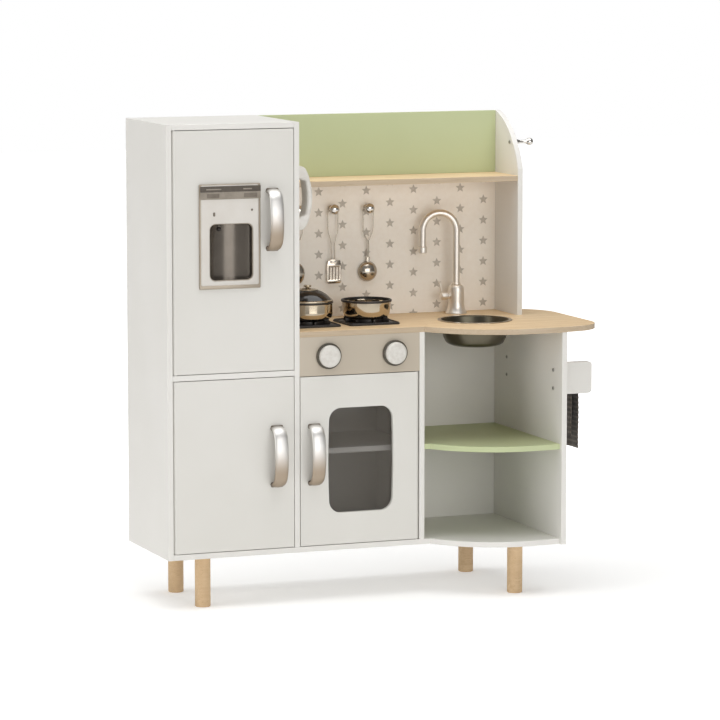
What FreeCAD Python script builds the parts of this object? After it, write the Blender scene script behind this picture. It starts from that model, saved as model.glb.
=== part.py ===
import FreeCAD, Part
import math
import os
from FreeCAD import Vector

# Toy kitchen: a tall fridge column on the left, an oven under a control panel
# in the middle, and an open corner with a curved front on the right.  A
# worktop with hob and sink runs over oven and corner, and a backsplash with
# an upper shelf stands on it.  The whole kitchen stands on four round legs.
#
# All sizes are in millimetres.  While it is built, x runs from the outer left
# face of the fridge to the right, y from the face of the doors to the back,
# and z from the floor up.  save() moves each finished piece so that the
# origin is the middle of the bottom of the whole object's box.

# ---------------------------------------------------------------- overall
leg_length = 112.0
board = 12.0                  # painted boards of the carcass
back_board = 9.0              # back panels
back_recess = 12.0            # back panels lie this far inside the back edge
edge_ease = 0.8               # rounding of the boards' edges

fridge_width = 300.0
fridge_depth = 278.0
lower_bay_height = 386.5      # underside of base board to underside of middle board

oven_width = 279.0            # clear width between fridge and divider
corner_width = 277.0          # clear width of the open corner
worktop_height = 469.0        # underside of base board to underside of worktop
worktop_thickness = 12.0
worktop_overhang = 96.0       # past the right side panel
control_panel_height = 85.0

# curved front of the corner
bulge = 122.0                 # how far the worktop stands out in front
bulge_apex = 199.0            # from the divider's outer face to the apex
front_radius = 600.0          # flat arc from the apex to the right
front_corner_radius = 80.0
back_corner_radius = 108.0
worktop_lip = 12.0            # base and shelf lie this far inside the worktop
side_setback = 7.0            # right side panel behind the worktop's apex
corner_shelf_height = 210.0   # underside of base board to underside of shelf
oven_shelf_height = 208.0
oven_shelf_setback = 30.0

# upper part
upper_shelf_height = 301.0    # top of worktop to underside of the upper shelf
top_panel_height = 139.0      # top of the upper shelf to the fridge's top
upper_side_depth = 127.0      # in front of the back panels
upper_side_curve = 125.0      # height of the upper side's curved front edge
upper_side_sag = 23.0         # bulge of the curved top edge past its chord

# ---------------------------------------------------------------- legs
leg_radius = 17.0
leg_from_sides = (93.0, 92.5)   # from the fridge's left and the side's right face
leg_from_front = (48.0, 76.0)   # behind the doors' face, and behind the curve's apex
leg_from_back = 47.0
leg_stud_radius = 4.0
leg_stud_length = 9.0
leg_foot_chamfer = 1.5

# ---------------------------------------------------------------- doors
door_gap = 1.5
pin_radius = 3.0
pin_clearance = 0.05
pin_in_door = 8.0
pin_in_board = 5.0
pin_end_play = 0.3

handle_height = 138.0
handle_depth = 38.0
handle_width = 30.0
handle_strap = 8.0
handle_foot = 14.0            # height of each foot on the door
handle_round = 2.5
handle_from_side = (50.0, 41.0, 33.0)    # from the board at the door's free edge
handle_below_top = (193.5, 171.0, 169.5)  # under the door's upper edge
screw_radius = 2.0
screw_head_radius = 4.2
screw_head_height = 2.2
handle_screw_bite = 7.0

window_side_margin = 62.0     # from the door's sides to the clear opening
window_end_margin = 69.5      # from its top and bottom
window_shift = (2.0, -1.0)    # the opening's middle from the door's middle
window_corner = 28.0
window_side_bulge = 3.0
pane_thickness = 3.0
pane_lap = 7.0
pane_clearance = 0.3

catch_size = (34.0, 14.0, 11.0)
catch_gap = 0.4
catch_from_door_edge = 8.0
catch_drop = 1.0              # oven catch under the control panel

# ---------------------------------------------------------------- dispenser
dispenser_from_handle = 166.0   # its left edge to the handle's middle
dispenser_below_top = 114.5     # under the door's upper edge
dispenser_width = 138.0
dispenser_height = 224.0
dispenser_depth = 7.0
dispenser_bevel = 4.0
recess_width = 95.0
recess_height = 119.0
recess_corner = 12.0
recess_offset_x = 24.0
recess_offset_z = 19.0
recess_depth = 34.0
recess_wall = 2.0
recess_flank = 14.0           # straight sides, before the round back
recess_clearance = 0.5
nozzle_radius = 6.5
nozzle_length = 17.0
nozzle_x = 24.0               # from the recess's left edge
nozzle_y = 9.0
display_height = 29.0
display_thickness = 2.0

# ---------------------------------------------------------------- knobs
knob_from_ends = (66.0, 59.0)   # from the fridge and from the divider
knob_radius = 24.5
knob_skirt_radius = 28.5
knob_skirt_depth = 5.0
knob_depth = 16.0
knob_shaft_radius = 4.0
knob_snap_radius = 5.5
knob_snap_length = 4.0
shaft_clearance = 0.05
running_gap = 0.3             # between faces of different moving pieces

# ---------------------------------------------------------------- hob
burner_width = 118.0
burner_depth = 114.0
burner_corner = 8.0
burner_plate = 4.0
burner_rise = 12.0            # top of the pan support over the worktop
burner_left_gap = 2.0         # from the fridge to the left burner
burner_pitch = 138.0
burner_middle_y = 115.0
support_ring_radius = 36.0
support_bar_width = 5.0
support_bar_inner = 16.0
support_bar_outer = 52.0
burner_cap_radius = 13.0

pot_radius = 56.0
pot_height = 41.0
pot_wall = 2.5
pot_bottom_round = 10.0
lid_dome = 27.0
lid_wall = 2.0
lid_knob_radius = 8.0
lid_knob_height = 10.0
pan_radius = 56.0
pan_base_radius = 38.0
pan_height = 40.0
pan_wall = 2.0
pan_rim = 2.5

# ---------------------------------------------------------------- sink, tap
sink_from_middle = 13.5       # right of the middle of the corner
sink_from_tap = 136.0         # in front of the tap's middle
sink_radius = 77.5
sink_depth = 56.0
sink_wall = 1.5
sink_flange = 6.0
sink_flange_thickness = 1.5
sink_bottom_radius = 52.0
sink_clearance = 1.0

tap_from_sink = 12.0          # right of the sink's middle
tap_from_wall = 42.0          # in front of the backsplash
tap_flange_radius = 23.5
tap_flange_height = 5.0
tap_body_radius = 16.5
tap_body_height = 66.0
tap_shoulder = 7.0
tap_pipe_radius = 7.2
tap_arc_radius = 40.0
tap_arc_height = 188.0        # middle of the arc over the worktop
tap_drop = 36.0               # straight part down to the outlet
tap_outlet_radius = 8.2
tap_outlet_length = 15.0
tap_rest_angle = 170.0        # direction of the spout at rest, from +x
tap_seat_depth = 14.0
tap_stem_radius = 8.0
tap_nut_radius = 15.0
tap_nut_thickness = 6.0
lever_height = 40.5           # over the worktop
lever_stub_radius = 6.7
lever_stub_length = 21.0
lever_pin_radius = 4.0
lever_pin_length = 8.0
lever_rod_radius = 2.2
lever_rod_length = 32.0
lever_rod_lean = 12.0         # degrees outwards
lever_rod_inset = 2.0         # from the stub's end

# ---------------------------------------------------------------- utensils
hook_pitch = 84.0
hook_count = 3
hook_from_fridge = 87.0         # first hook
hook_height = 241.0             # over the worktop
hook_neck_radius = 3.5
hook_head_radius = 11.5
hook_head_thickness = 7.0
hook_reach = 28.0
hook_plate_radius = 8.0
hook_plate_thickness = 2.0
wire_radius = 1.3
wire_gap = 0.3
wire_from_wall = 10.0
loop_half_width = 12.0
loop_length = 66.0
handle_wire_length = 45.0
handle_wire_half = 1.2
turner_width = 38.0
turner_blade_height = 50.0
turner_thickness = 1.6
turner_slots = 4
turner_slot_width = 3.4
turner_slot_length = 32.0
turner_slot_drop = 3.0        # middle of the slots under the blade's middle
turner_corner = 6.0
blade_lap = 2.0               # blades reach this far over the wire's end
ladle_radius = 23.0
ladle_depth = 15.0
ladle_wall = 1.4
spoon_half_width = 17.0
spoon_half_height = 24.0
spoon_depth = 5.0
spoon_tip_radius = 9.0

# ---------------------------------------------------------------- telephone
phone_y = 34.0
phone_width = 46.0
phone_over_worktop = 285.5    # its middle
cradle_thickness = 8.0
cradle_height = 96.0
handset_length = 137.0
handset_reach = 45.0          # outer face of the handset off the fridge
handset_ear_height = 30.0
handset_grip = 13.0
handset_ear_reach = 14.0
handset_slope = 4.0

# ---------------------------------------------------------------- right side
coat_hook_from_back = 102.0
coat_hook_below_top = 67.0
coat_hook_reach = 44.0
coat_flange_radius = 9.0
coat_flange_thickness = 3.0
coat_neck_radius = 3.8
coat_ball_radius = 8.5
bracket_from_front = 39.0     # behind the side panel's front edge
bracket_pitch = 255.0
bracket_below_worktop = 142.0   # lower edge, under the worktop's underside
bracket_reach = 77.0
bracket_height = 70.0
bracket_corner = 8.0
rail_radius = 6.0
rail_x = 45.0                 # from the side panel's outer face
rail_z = 53.0                 # over the bracket's lower edge
rail_bite = 8.0
towel_thickness = 4.0
towel_side_gap = 10.0
towel_front_drop = 178.0
towel_back_drop = 150.0
side_screw_spacing = 40.0
side_screw_length = 30.0
side_screw_lowest = 14.0

# ---------------------------------------------------------------- derived
base_z0 = leg_length
base_z1 = base_z0 + board
worktop_z0 = base_z0 + worktop_height
worktop_z1 = worktop_z0 + worktop_thickness
shelf_z0 = worktop_z1 + upper_shelf_height
shelf_z1 = shelf_z0 + board
fridge_z1 = shelf_z1 + top_panel_height
middle_z0 = base_z0 + lower_bay_height
middle_z1 = middle_z0 + board
fridge_in_x0 = board
fridge_in_x1 = fridge_width - board
divider_x0 = fridge_width + oven_width
divider_x1 = divider_x0 + board
side_x0 = divider_x1 + corner_width
side_x1 = side_x0 + board
worktop_x1 = side_x1 + worktop_overhang
back_y1 = fridge_depth - back_recess
back_y0 = back_y1 - back_board
control_z0 = worktop_z0 - control_panel_height
apex_x = divider_x1 + bulge_apex
bulge_radius = (bulge_apex ** 2 + bulge ** 2) / (2 * bulge)
bulge_middle_y = bulge_radius - bulge
side_front_y = side_setback - bulge
pin_setback = board / 2       # door pivots lie in the middle of the board
hinge_left_x = fridge_in_x0 + door_gap + pin_setback
hinge_right_x = divider_x0 - door_gap - pin_setback
upper_door_z = (middle_z1 + door_gap, fridge_z1 - board - door_gap)
lower_door_z = (base_z1 + door_gap, middle_z0 - door_gap)
oven_door_z = (base_z1 + door_gap, control_z0 - door_gap)
handle_x = (fridge_in_x1 - handle_from_side[0], fridge_in_x1 - handle_from_side[1],
            fridge_width + handle_from_side[2])
handle_z = (upper_door_z[1] - handle_below_top[0], lower_door_z[1] - handle_below_top[1],
            oven_door_z[1] - handle_below_top[2])
dispenser_x = handle_x[0] - dispenser_from_handle
dispenser_z = upper_door_z[1] - dispenser_below_top - dispenser_height
leg_places = ((leg_from_sides[0], leg_from_front[0]), (side_x1 - leg_from_sides[1], leg_from_front[1] - bulge))
leg_back_y = fridge_depth - leg_from_back
knob_x = (fridge_width + knob_from_ends[0], divider_x0 - knob_from_ends[1])
knob_z = (control_z0 + worktop_z0) / 2
tap_y = back_y0 - tap_from_wall
sink_y = tap_y - sink_from_tap
sink_mx = (divider_x1 + side_x0) / 2 + sink_from_middle
tap_mx = sink_mx + tap_from_sink
phone_middle_z = worktop_z1 + phone_over_worktop
coat_hook_y = fridge_depth - coat_hook_from_back
coat_hook_z = fridge_z1 - coat_hook_below_top
bracket_front_y = side_front_y + bracket_from_front
bracket_z = worktop_z0 - bracket_below_worktop
shift = Vector(-worktop_x1 / 2, -(fridge_depth - bulge) / 2, 0)

X = Vector(1, 0, 0)
Y = Vector(0, 1, 0)
Z = Vector(0, 0, 1)

os.makedirs("parts", exist_ok=True)


# ---------------------------------------------------------------- helpers
def save(name, *solids):
    """Write one sub-part, moved to the object's own origin."""
    shape = solids[0] if len(solids) == 1 else Part.makeCompound(list(solids))
    if len(shape.Solids) != len(solids):
        raise ValueError(name + " holds %d solids" % len(shape.Solids))
    moved = shape.copy()
    moved.translate(shift)
    moved.exportStep("parts/" + name + ".step")


def box(x0, x1, y0, y1, z0, z1):
    return Part.makeBox(x1 - x0, y1 - y0, z1 - z0, Vector(x0, y0, z0))


def eased(shape, radius=edge_ease):
    """A board with all its edges slightly rounded."""
    return shape.makeFillet(radius, shape.Edges)


def panel(x0, x1, y0, y1, z0, z1):
    return eased(box(x0, x1, y0, y1, z0, z1))


def rod(radius, start, end):
    start = Vector(*start)
    run = Vector(*end) - start
    return Part.makeCylinder(radius, run.Length, start, run)


def prism(points, normal, length):
    """A solid from a closed outline: points, with (via, end) pairs as arcs."""
    edges = []
    here = points[0]
    for step in points[1:] + [points[0]]:
        if isinstance(step, tuple):
            edges.append(Part.Arc(here, step[0], step[1]).toShape())
            here = step[1]
        elif (step - here).Length > 1e-6:
            edges.append(Part.LineSegment(here, step).toShape())
            here = step
    return Part.Face(Part.Wire(edges)).extrude(normal * length)


def turned(profile, middle, axis):
    """A solid of revolution from (radius, height) points along an axis."""
    points = [Vector(r, 0, h) for r, h in profile]
    face = Part.Face(Part.makePolygon(points + [points[0]]))
    solid = face.revolve(Vector(0, 0, 0), Z, 360)
    solid.Placement = FreeCAD.Placement(middle, FreeCAD.Rotation(Z, axis))
    return solid


def corner_edges(shape, axis):
    """Edges that run straight along one axis."""
    chosen = []
    for edge in shape.Edges:
        if len(edge.Vertexes) != 2:
            continue
        run = edge.Vertexes[1].Point - edge.Vertexes[0].Point
        if run.cross(axis).Length < 1e-6 and run.Length > 1e-6:
            chosen.append(edge)
    return chosen


def rounded_box(x0, x1, y0, y1, z0, z1, axis, radius):
    shape = box(x0, x1, y0, y1, z0, z1)
    return shape.makeFillet(radius, corner_edges(shape, axis))


def fused(solids):
    return solids[0].fuse(solids[1:]).removeSplitter()


def half_ring(middle, ring_radius, radius):
    """A round bar bent into a half circle over its middle, in the xz plane."""
    start = middle + Vector(ring_radius, 0, 0)
    section = Part.Face(Part.Wire([Part.Circle(start, Z, radius).toShape()]))
    return section.revolve(middle, -Y, 180)


# ---------------------------------------------------------------- carcass
def corner_outline(inset, z, right_x, back):
    """Front curve of the corner: straight to the divider, then the bulge.

    inset moves the curve inside the worktop's own edge.
    """
    radius = bulge_radius - inset
    start_x = apex_x - math.sqrt(radius ** 2 - bulge_middle_y ** 2)
    half = math.radians(45)
    via = Vector(apex_x - radius * math.sin(half), bulge_middle_y - radius * math.cos(half), z)
    apex = Vector(apex_x, -bulge + inset, z)
    flat = front_radius - inset
    reach = right_x - apex_x
    flat_middle_y = front_radius - bulge
    end_y = flat_middle_y - math.sqrt(flat ** 2 - reach ** 2)
    mid_y = flat_middle_y - math.sqrt(flat ** 2 - (reach / 2) ** 2)
    mid = Vector(apex_x + reach / 2, mid_y, z)
    end = Vector(right_x, end_y, z)
    return Vector(start_x, 0, z), via, apex, mid, end, Vector(right_x, back, z)


def corner_board(x0, right_x, back, inset, z0, thickness):
    start, via, apex, mid, end, corner = corner_outline(inset, z0, right_x, back)
    points = [Vector(x0, 0, z0), start, (via, apex), (mid, end), corner, Vector(x0, back, z0)]
    return prism(points, Z, thickness)


def base_board():
    shape = eased(corner_board(fridge_in_x0, side_x0, back_y1, worktop_lip, base_z0, board))
    for x, front_y in leg_places:
        for y in (front_y, leg_back_y):
            shape = shape.cut(rod(leg_stud_radius, (x, y, base_z0 - 1), (x, y, base_z0 + leg_stud_length)))
    for x in (hinge_left_x, hinge_right_x):
        shape = shape.cut(pin_hole(x, base_z1, -1))
    return shape


def pin_hole(x, z, way):
    """Blind hole for a door's pivot pin, in a board's face at height z."""
    depth = pin_in_board + pin_end_play
    return rod(pin_radius + pin_clearance, (x, pin_setback, z - way), (x, pin_setback, z + way * depth))


def worktop():
    shape = corner_board(fridge_width, worktop_x1, back_y1, 0, worktop_z0, worktop_thickness)
    right = [e for e in corner_edges(shape, Z) if abs(e.Vertexes[0].Point.x - worktop_x1) < 1e-6]
    front = min(right, key=lambda e: e.Vertexes[0].Point.y)
    shape = shape.makeFillet(front_corner_radius, [front])
    right = [e for e in corner_edges(shape, Z) if abs(e.Vertexes[0].Point.x - worktop_x1) < 1e-6]
    back = max(right, key=lambda e: e.Vertexes[0].Point.y)
    shape = eased(shape.makeFillet(back_corner_radius, [back]))
    hole = sink_radius + sink_clearance
    shape = shape.cut(rod(hole, (sink_mx, sink_y, worktop_z0 - 1), (sink_mx, sink_y, worktop_z1 + 1)))
    return shape.cut(rod(tap_stem_radius, (tap_mx, tap_y, worktop_z0 - 1), (tap_mx, tap_y, worktop_z1 + 1)))


def upper_right_side():
    front_y = back_y0 - upper_side_depth
    straight_z = fridge_z1 - upper_side_curve
    start = Vector(side_x0, front_y, straight_z)
    end = Vector(side_x0, back_y0, fridge_z1)
    chord = end - start
    outward = Vector(0, -chord.z, chord.y).normalize()
    via = (start + end) * 0.5 + outward * upper_side_sag
    points = [Vector(side_x0, front_y, worktop_z1), start, (via, end), Vector(side_x0, back_y1, fridge_z1)]
    shape = eased(prism(points + [Vector(side_x0, back_y1, worktop_z1)], X, board))
    screw = (coat_hook_y, coat_hook_z)
    return shape.cut(rod(screw_radius, (side_x0 - 1, *screw), (side_x1 + 1, *screw)))


def right_side_panel():
    shape = panel(side_x0, side_x1, side_front_y, back_y1, base_z0, worktop_z0)
    for y, z in bracket_screws():
        shape = shape.cut(rod(screw_radius, (side_x0 - 1, y, z), (side_x1 + 1, y, z)))
    return shape


def bracket_screws():
    """Places of the screws that hold the towel rail's brackets."""
    places = []
    for k in range(2):
        y = bracket_front_y + k * bracket_pitch + board / 2
        for n in range(2):
            places.append((y, bracket_z + side_screw_lowest + n * side_screw_spacing))
    return places


def control_panel():
    shape = panel(fridge_width, divider_x0, 0, board, control_z0, worktop_z0)
    bore = knob_shaft_radius + shaft_clearance
    for x in knob_x:
        shape = shape.cut(rod(bore, (x, -1, knob_z), (x, board + 1, knob_z)))
    return shape.cut(pin_hole(hinge_right_x, control_z0, 1))


def legs():
    made = []
    for x, front_y in leg_places:
        for y in (front_y, leg_back_y):
            leg = Part.makeCylinder(leg_radius, leg_length, Vector(x, y, 0))
            foot = [e for e in leg.Edges if len(e.Vertexes) == 1 and e.Vertexes[0].Point.z < 1e-6]
            leg = leg.makeChamfer(leg_foot_chamfer, foot)
            stud = rod(leg_stud_radius, (x, y, leg_length - 1), (x, y, leg_length + leg_stud_length))
            made.append(fused([leg, stud]))
    return made


def carcass():
    middle = panel(fridge_in_x0, fridge_in_x1, 0, back_y0, middle_z0, middle_z1)
    top = panel(fridge_in_x0, fridge_in_x1, 0, fridge_depth, fridge_z1 - board, fridge_z1)
    for z, way in ((middle_z0, 1), (middle_z1, -1)):
        middle = middle.cut(pin_hole(hinge_left_x, z, way))
    top = top.cut(pin_hole(hinge_left_x, fridge_z1 - board, 1))
    shelf = corner_board(divider_x1, side_x0, back_y0, worktop_lip, base_z0 + corner_shelf_height, board)
    oven_shelf_z = base_z0 + oven_shelf_height
    side_z = (base_z1, fridge_z1)

    save("fridge_left_side", panel(0, board, 0, fridge_depth, base_z0, fridge_z1))
    save("fridge_right_side", panel(fridge_in_x1, fridge_width, 0, fridge_depth, *side_z))
    save("fridge_top", top)
    save("fridge_middle_board", middle)
    save("fridge_back_panel", panel(fridge_in_x0, fridge_in_x1, back_y0, back_y1, base_z1, fridge_z1 - board))
    save("base_board", base_board())
    save("lower_back_panel", panel(fridge_width, side_x0, back_y0, back_y1, base_z1, worktop_z0))
    save("divider_panel", panel(divider_x0, divider_x1, 0, back_y0, base_z1, worktop_z0))
    save("right_side_panel", right_side_panel())
    save("corner_shelf", eased(shelf))
    oven_shelf = panel(fridge_width, divider_x0, oven_shelf_setback, back_y0, oven_shelf_z, oven_shelf_z + board)
    save("oven_shelf", oven_shelf)
    save("control_panel", control_panel())
    save("worktop", worktop())
    save("backsplash_panel", panel(fridge_width, side_x0, back_y0, back_y1, worktop_z1, shelf_z0))
    save("upper_shelf", panel(fridge_width, side_x0, back_y0 - upper_side_depth, back_y1, shelf_z0, shelf_z1))
    save("top_back_panel", panel(fridge_width, side_x0, back_y0, back_y1, shelf_z1, fridge_z1))
    save("upper_right_side", upper_right_side())
    save("legs", *legs())


# ---------------------------------------------------------------- doors
def door(x0, x1, z0, z1, hinge_x):
    """An inset door whose hinge edge is round about its pivot pins."""
    if hinge_x < (x0 + x1) / 2:
        leaf = box(hinge_x, x1, 0, board, z0, z1)
    else:
        leaf = box(x0, hinge_x, 0, board, z0, z1)
    round_edge = rod(board / 2, (hinge_x, pin_setback, z0), (hinge_x, pin_setback, z1))
    shape = fused([leaf, round_edge])
    for z, way in ((z0, 1), (z1, -1)):
        hole = rod(pin_radius, (hinge_x, pin_setback, z - way), (hinge_x, pin_setback, z + way * pin_in_door))
        shape = shape.cut(hole)
    return shape


def pins(hinge_x, z0, z1):
    return [rod(pin_radius, (hinge_x, pin_setback, z0 - door_gap - pin_in_board),
                (hinge_x, pin_setback, z0 + pin_in_door)),
            rod(pin_radius, (hinge_x, pin_setback, z1 - pin_in_door),
                (hinge_x, pin_setback, z1 + door_gap + pin_in_board))]


def handle_screw_heights(z):
    rise = (handle_height - handle_foot) / 2
    return (z - rise, z + rise)


def handle(x, z):
    """An arched strap handle: three arcs outside, three inside."""
    x0 = x - handle_width / 2

    def arch(half, depth):
        knee = depth * 0.86
        shoulder = half * 0.62
        points = [Vector(x0, 0, z - half)]
        points.append((Vector(x0, -depth * 0.55, z - half * 0.9), Vector(x0, -knee, z - shoulder)))
        points.append((Vector(x0, -depth, z), Vector(x0, -knee, z + shoulder)))
        points.append((Vector(x0, -depth * 0.55, z + half * 0.9), Vector(x0, 0, z + half)))
        return prism(points, X, handle_width)

    outer = arch(handle_height / 2, handle_depth)
    inner = arch(handle_height / 2 - handle_foot, handle_depth - handle_strap)
    shape = outer.cut(inner)
    long_edges = [e for e in shape.Edges if not e.Curve.TypeId.endswith("Line")]
    shape = shape.makeFillet(handle_round, long_edges)
    for screw_z in handle_screw_heights(z):
        shape = shape.cut(rod(screw_radius, (x, 1, screw_z), (x, -handle_screw_bite, screw_z)))
    return shape


def handle_screws(x, z):
    made = []
    for screw_z in handle_screw_heights(z):
        shank = rod(screw_radius, (x, board, screw_z), (x, -handle_screw_bite, screw_z))
        head = rod(screw_head_radius, (x, board, screw_z), (x, board + screw_head_height, screw_z))
        made.append(fused([shank, head]))
    return made


def screw_holes(shape, x, z):
    for screw_z in handle_screw_heights(z):
        shape = shape.cut(rod(screw_radius, (x, -1, screw_z), (x, board + 1, screw_z)))
    return shape


def window_shape(grow, y0, y1):
    """The oven window's outline: straight top and bottom, slightly round sides."""
    x = (fridge_width + divider_x0) / 2 + window_shift[0]
    z = sum(oven_door_z) / 2 + window_shift[1]
    half = oven_width / 2 - door_gap - window_side_margin + grow
    rise = (oven_door_z[1] - oven_door_z[0]) / 2 - window_end_margin + grow
    z0 = z - rise
    z1 = z + rise
    left = x - half + window_side_bulge
    right = x + half - window_side_bulge
    points = [Vector(left, y0, z0), Vector(right, y0, z0)]
    points.append((Vector(x + half, y0, z), Vector(right, y0, z1)))
    points.append(Vector(left, y0, z1))
    points.append((Vector(x - half, y0, z), Vector(left, y0, z0)))
    shape = prism(points, Y, y1 - y0)
    return shape.makeFillet(window_corner + grow, corner_edges(shape, Y))


def doors():
    fridge_x = (fridge_in_x0 + door_gap, fridge_in_x1 - door_gap)
    oven_x = (fridge_width + door_gap, divider_x0 - door_gap)
    upper = door(*fridge_x, *upper_door_z, hinge_left_x)
    upper = screw_holes(upper, handle_x[0], handle_z[0])
    upper = upper.cut(recess_block(recess_wall + recess_clearance, -1, board + 1))
    save("upper_fridge_door", upper)
    lower = door(*fridge_x, *lower_door_z, hinge_left_x)
    save("lower_fridge_door", screw_holes(lower, handle_x[1], handle_z[1]))
    oven = door(*oven_x, *oven_door_z, hinge_right_x)
    oven = screw_holes(oven, handle_x[2], handle_z[2])
    oven = oven.cut(window_shape(0, -1, board + 1))
    oven = oven.cut(window_shape(pane_lap + pane_clearance, board - pane_thickness, board + 1))
    save("oven_door", oven)
    save("oven_window", window_shape(pane_lap, board - pane_thickness, board))

    save("upper_door_pivot_pins", *pins(hinge_left_x, *upper_door_z))
    save("lower_door_pivot_pins", *pins(hinge_left_x, *lower_door_z))
    save("oven_door_pivot_pins", *pins(hinge_right_x, *oven_door_z))
    for name, x, z in zip(("upper_door", "lower_door", "oven_door"), handle_x, handle_z):
        save(name + "_handle", handle(x, z))
        save(name + "_handle_screws", *handle_screws(x, z))

    length, depth, height = catch_size
    catch = (board + catch_gap, board + catch_gap + depth)
    x1 = fridge_in_x1 - door_gap - catch_from_door_edge
    oven_x1 = fridge_width + door_gap + catch_from_door_edge + length
    oven_z1 = control_z0 - catch_drop
    save("magnet_catches",
         box(x1 - length, x1, *catch, middle_z1, middle_z1 + height),
         box(x1 - length, x1, *catch, middle_z0 - height, middle_z0),
         box(fridge_width, oven_x1, *catch, oven_z1 - height, oven_z1))


# ---------------------------------------------------------------- dispenser
recess_x0 = dispenser_x + recess_offset_x
recess_z0 = dispenser_z + recess_offset_z


def recess_block(grow, y0, y1, radius=recess_corner):
    """The recess's outline in the door's face, grown on all sides."""
    return rounded_box(recess_x0 - grow, recess_x0 + recess_width + grow, y0, y1,
                       recess_z0 - grow, recess_z0 + recess_height + grow, Y, radius)


def recess_trough(grow):
    """A trough with a round back, open to the front."""
    x0 = recess_x0 - grow
    x1 = recess_x0 + recess_width + grow
    z0 = recess_z0 - grow
    y1 = recess_depth - recess_wall + grow
    points = [Vector(x0, 0, z0), Vector(x1, 0, z0), Vector(x1, recess_flank, z0)]
    points.append((Vector((x0 + x1) / 2, y1, z0), Vector(x0, recess_flank, z0)))
    return prism(points, Z, recess_height + 2 * grow)


def dispenser():
    x1 = dispenser_x + dispenser_width
    z1 = dispenser_z + dispenser_height
    frame = box(dispenser_x, x1, -dispenser_depth, 0, dispenser_z, z1)
    front = [e for e in frame.Edges if all(abs(v.Point.y + dispenser_depth) < 1e-6 for v in e.Vertexes)]
    frame = frame.makeChamfer(dispenser_bevel, front)
    frame = frame.cut(recess_block(0, -dispenser_depth - 1, 1))
    save("dispenser_frame", frame)
    tub = recess_trough(recess_wall).common(recess_block(recess_wall, 0, recess_depth + 1))
    tub = tub.cut(recess_trough(0).common(recess_block(0, -1, recess_depth + 1)))
    save("dispenser_recess", tub)
    x = recess_x0 + nozzle_x
    top = recess_z0 + recess_height
    save("dispenser_nozzle", rod(nozzle_radius, (x, nozzle_y, top - nozzle_length), (x, nozzle_y, top)))
    display = box(dispenser_x + dispenser_bevel, x1 - dispenser_bevel,
                  -dispenser_depth - display_thickness, -dispenser_depth,
                  z1 - dispenser_bevel - display_height, z1 - dispenser_bevel)
    save("dispenser_display", display)


# ---------------------------------------------------------------- knobs
def knob(x):
    z = knob_z
    front = knob_depth
    profile = [(0, running_gap), (knob_skirt_radius - 1, running_gap), (knob_skirt_radius, running_gap + 1),
               (knob_skirt_radius, knob_skirt_depth), (knob_radius, knob_skirt_depth),
               (knob_radius, front - 2), (knob_radius - 2, front), (0, front)]
    cap = turned(profile, Vector(x, 0, z), Vector(0, -1, 0))
    shaft = rod(knob_shaft_radius, (x, -knob_skirt_depth, z), (x, board + running_gap, z))
    snap = rod(knob_snap_radius, (x, board + running_gap, z), (x, board + running_gap + knob_snap_length, z))
    return fused([cap, shaft, snap])


def knobs():
    for name, x in zip(("left_knob", "right_knob"), knob_x):
        save(name, knob(x))


# ---------------------------------------------------------------- hob
def burner_middles():
    first = fridge_width + burner_left_gap + burner_width / 2
    return [first, first + burner_pitch]


def burner(x):
    y = burner_middle_y
    z0 = worktop_z1
    plate_z = z0 + burner_plate
    top_z = z0 + burner_rise
    shape = rounded_box(x - burner_width / 2, x + burner_width / 2, y - burner_depth / 2,
                        y + burner_depth / 2, z0, plate_z, Z, burner_corner)
    ring = Part.makeCylinder(support_ring_radius + support_bar_width / 2, top_z - plate_z, Vector(x, y, plate_z))
    ring = ring.cut(Part.makeCylinder(support_ring_radius - support_bar_width / 2,
                                      top_z - plate_z, Vector(x, y, plate_z)))
    pieces = [shape, ring]
    half = support_bar_width / 2
    for quarter in range(4):
        bar = box(x + support_bar_inner, x + support_bar_outer, y - half, y + half, plate_z, top_z)
        bar.rotate(Vector(x, y, 0), Z, 45 + 90 * quarter)
        pieces.append(bar)
    pieces.append(Part.makeCylinder(burner_cap_radius, (top_z - plate_z) / 2, Vector(x, y, plate_z)))
    return fused(pieces)


def pot(x):
    z = worktop_z1 + burner_rise + running_gap
    outer = Part.makeCylinder(pot_radius, pot_height, Vector(x, burner_middle_y, z))
    low = [e for e in outer.Edges if abs(e.BoundBox.ZMax - z) < 1e-6]
    outer = outer.makeFillet(pot_bottom_round, low)
    inner_z = z + pot_wall
    inner = Part.makeCylinder(pot_radius - pot_wall, pot_height, Vector(x, burner_middle_y, inner_z))
    low = [e for e in inner.Edges if abs(e.BoundBox.ZMax - inner_z) < 1e-6]
    return outer.cut(inner.makeFillet(pot_bottom_round - pot_wall, low))


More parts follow.
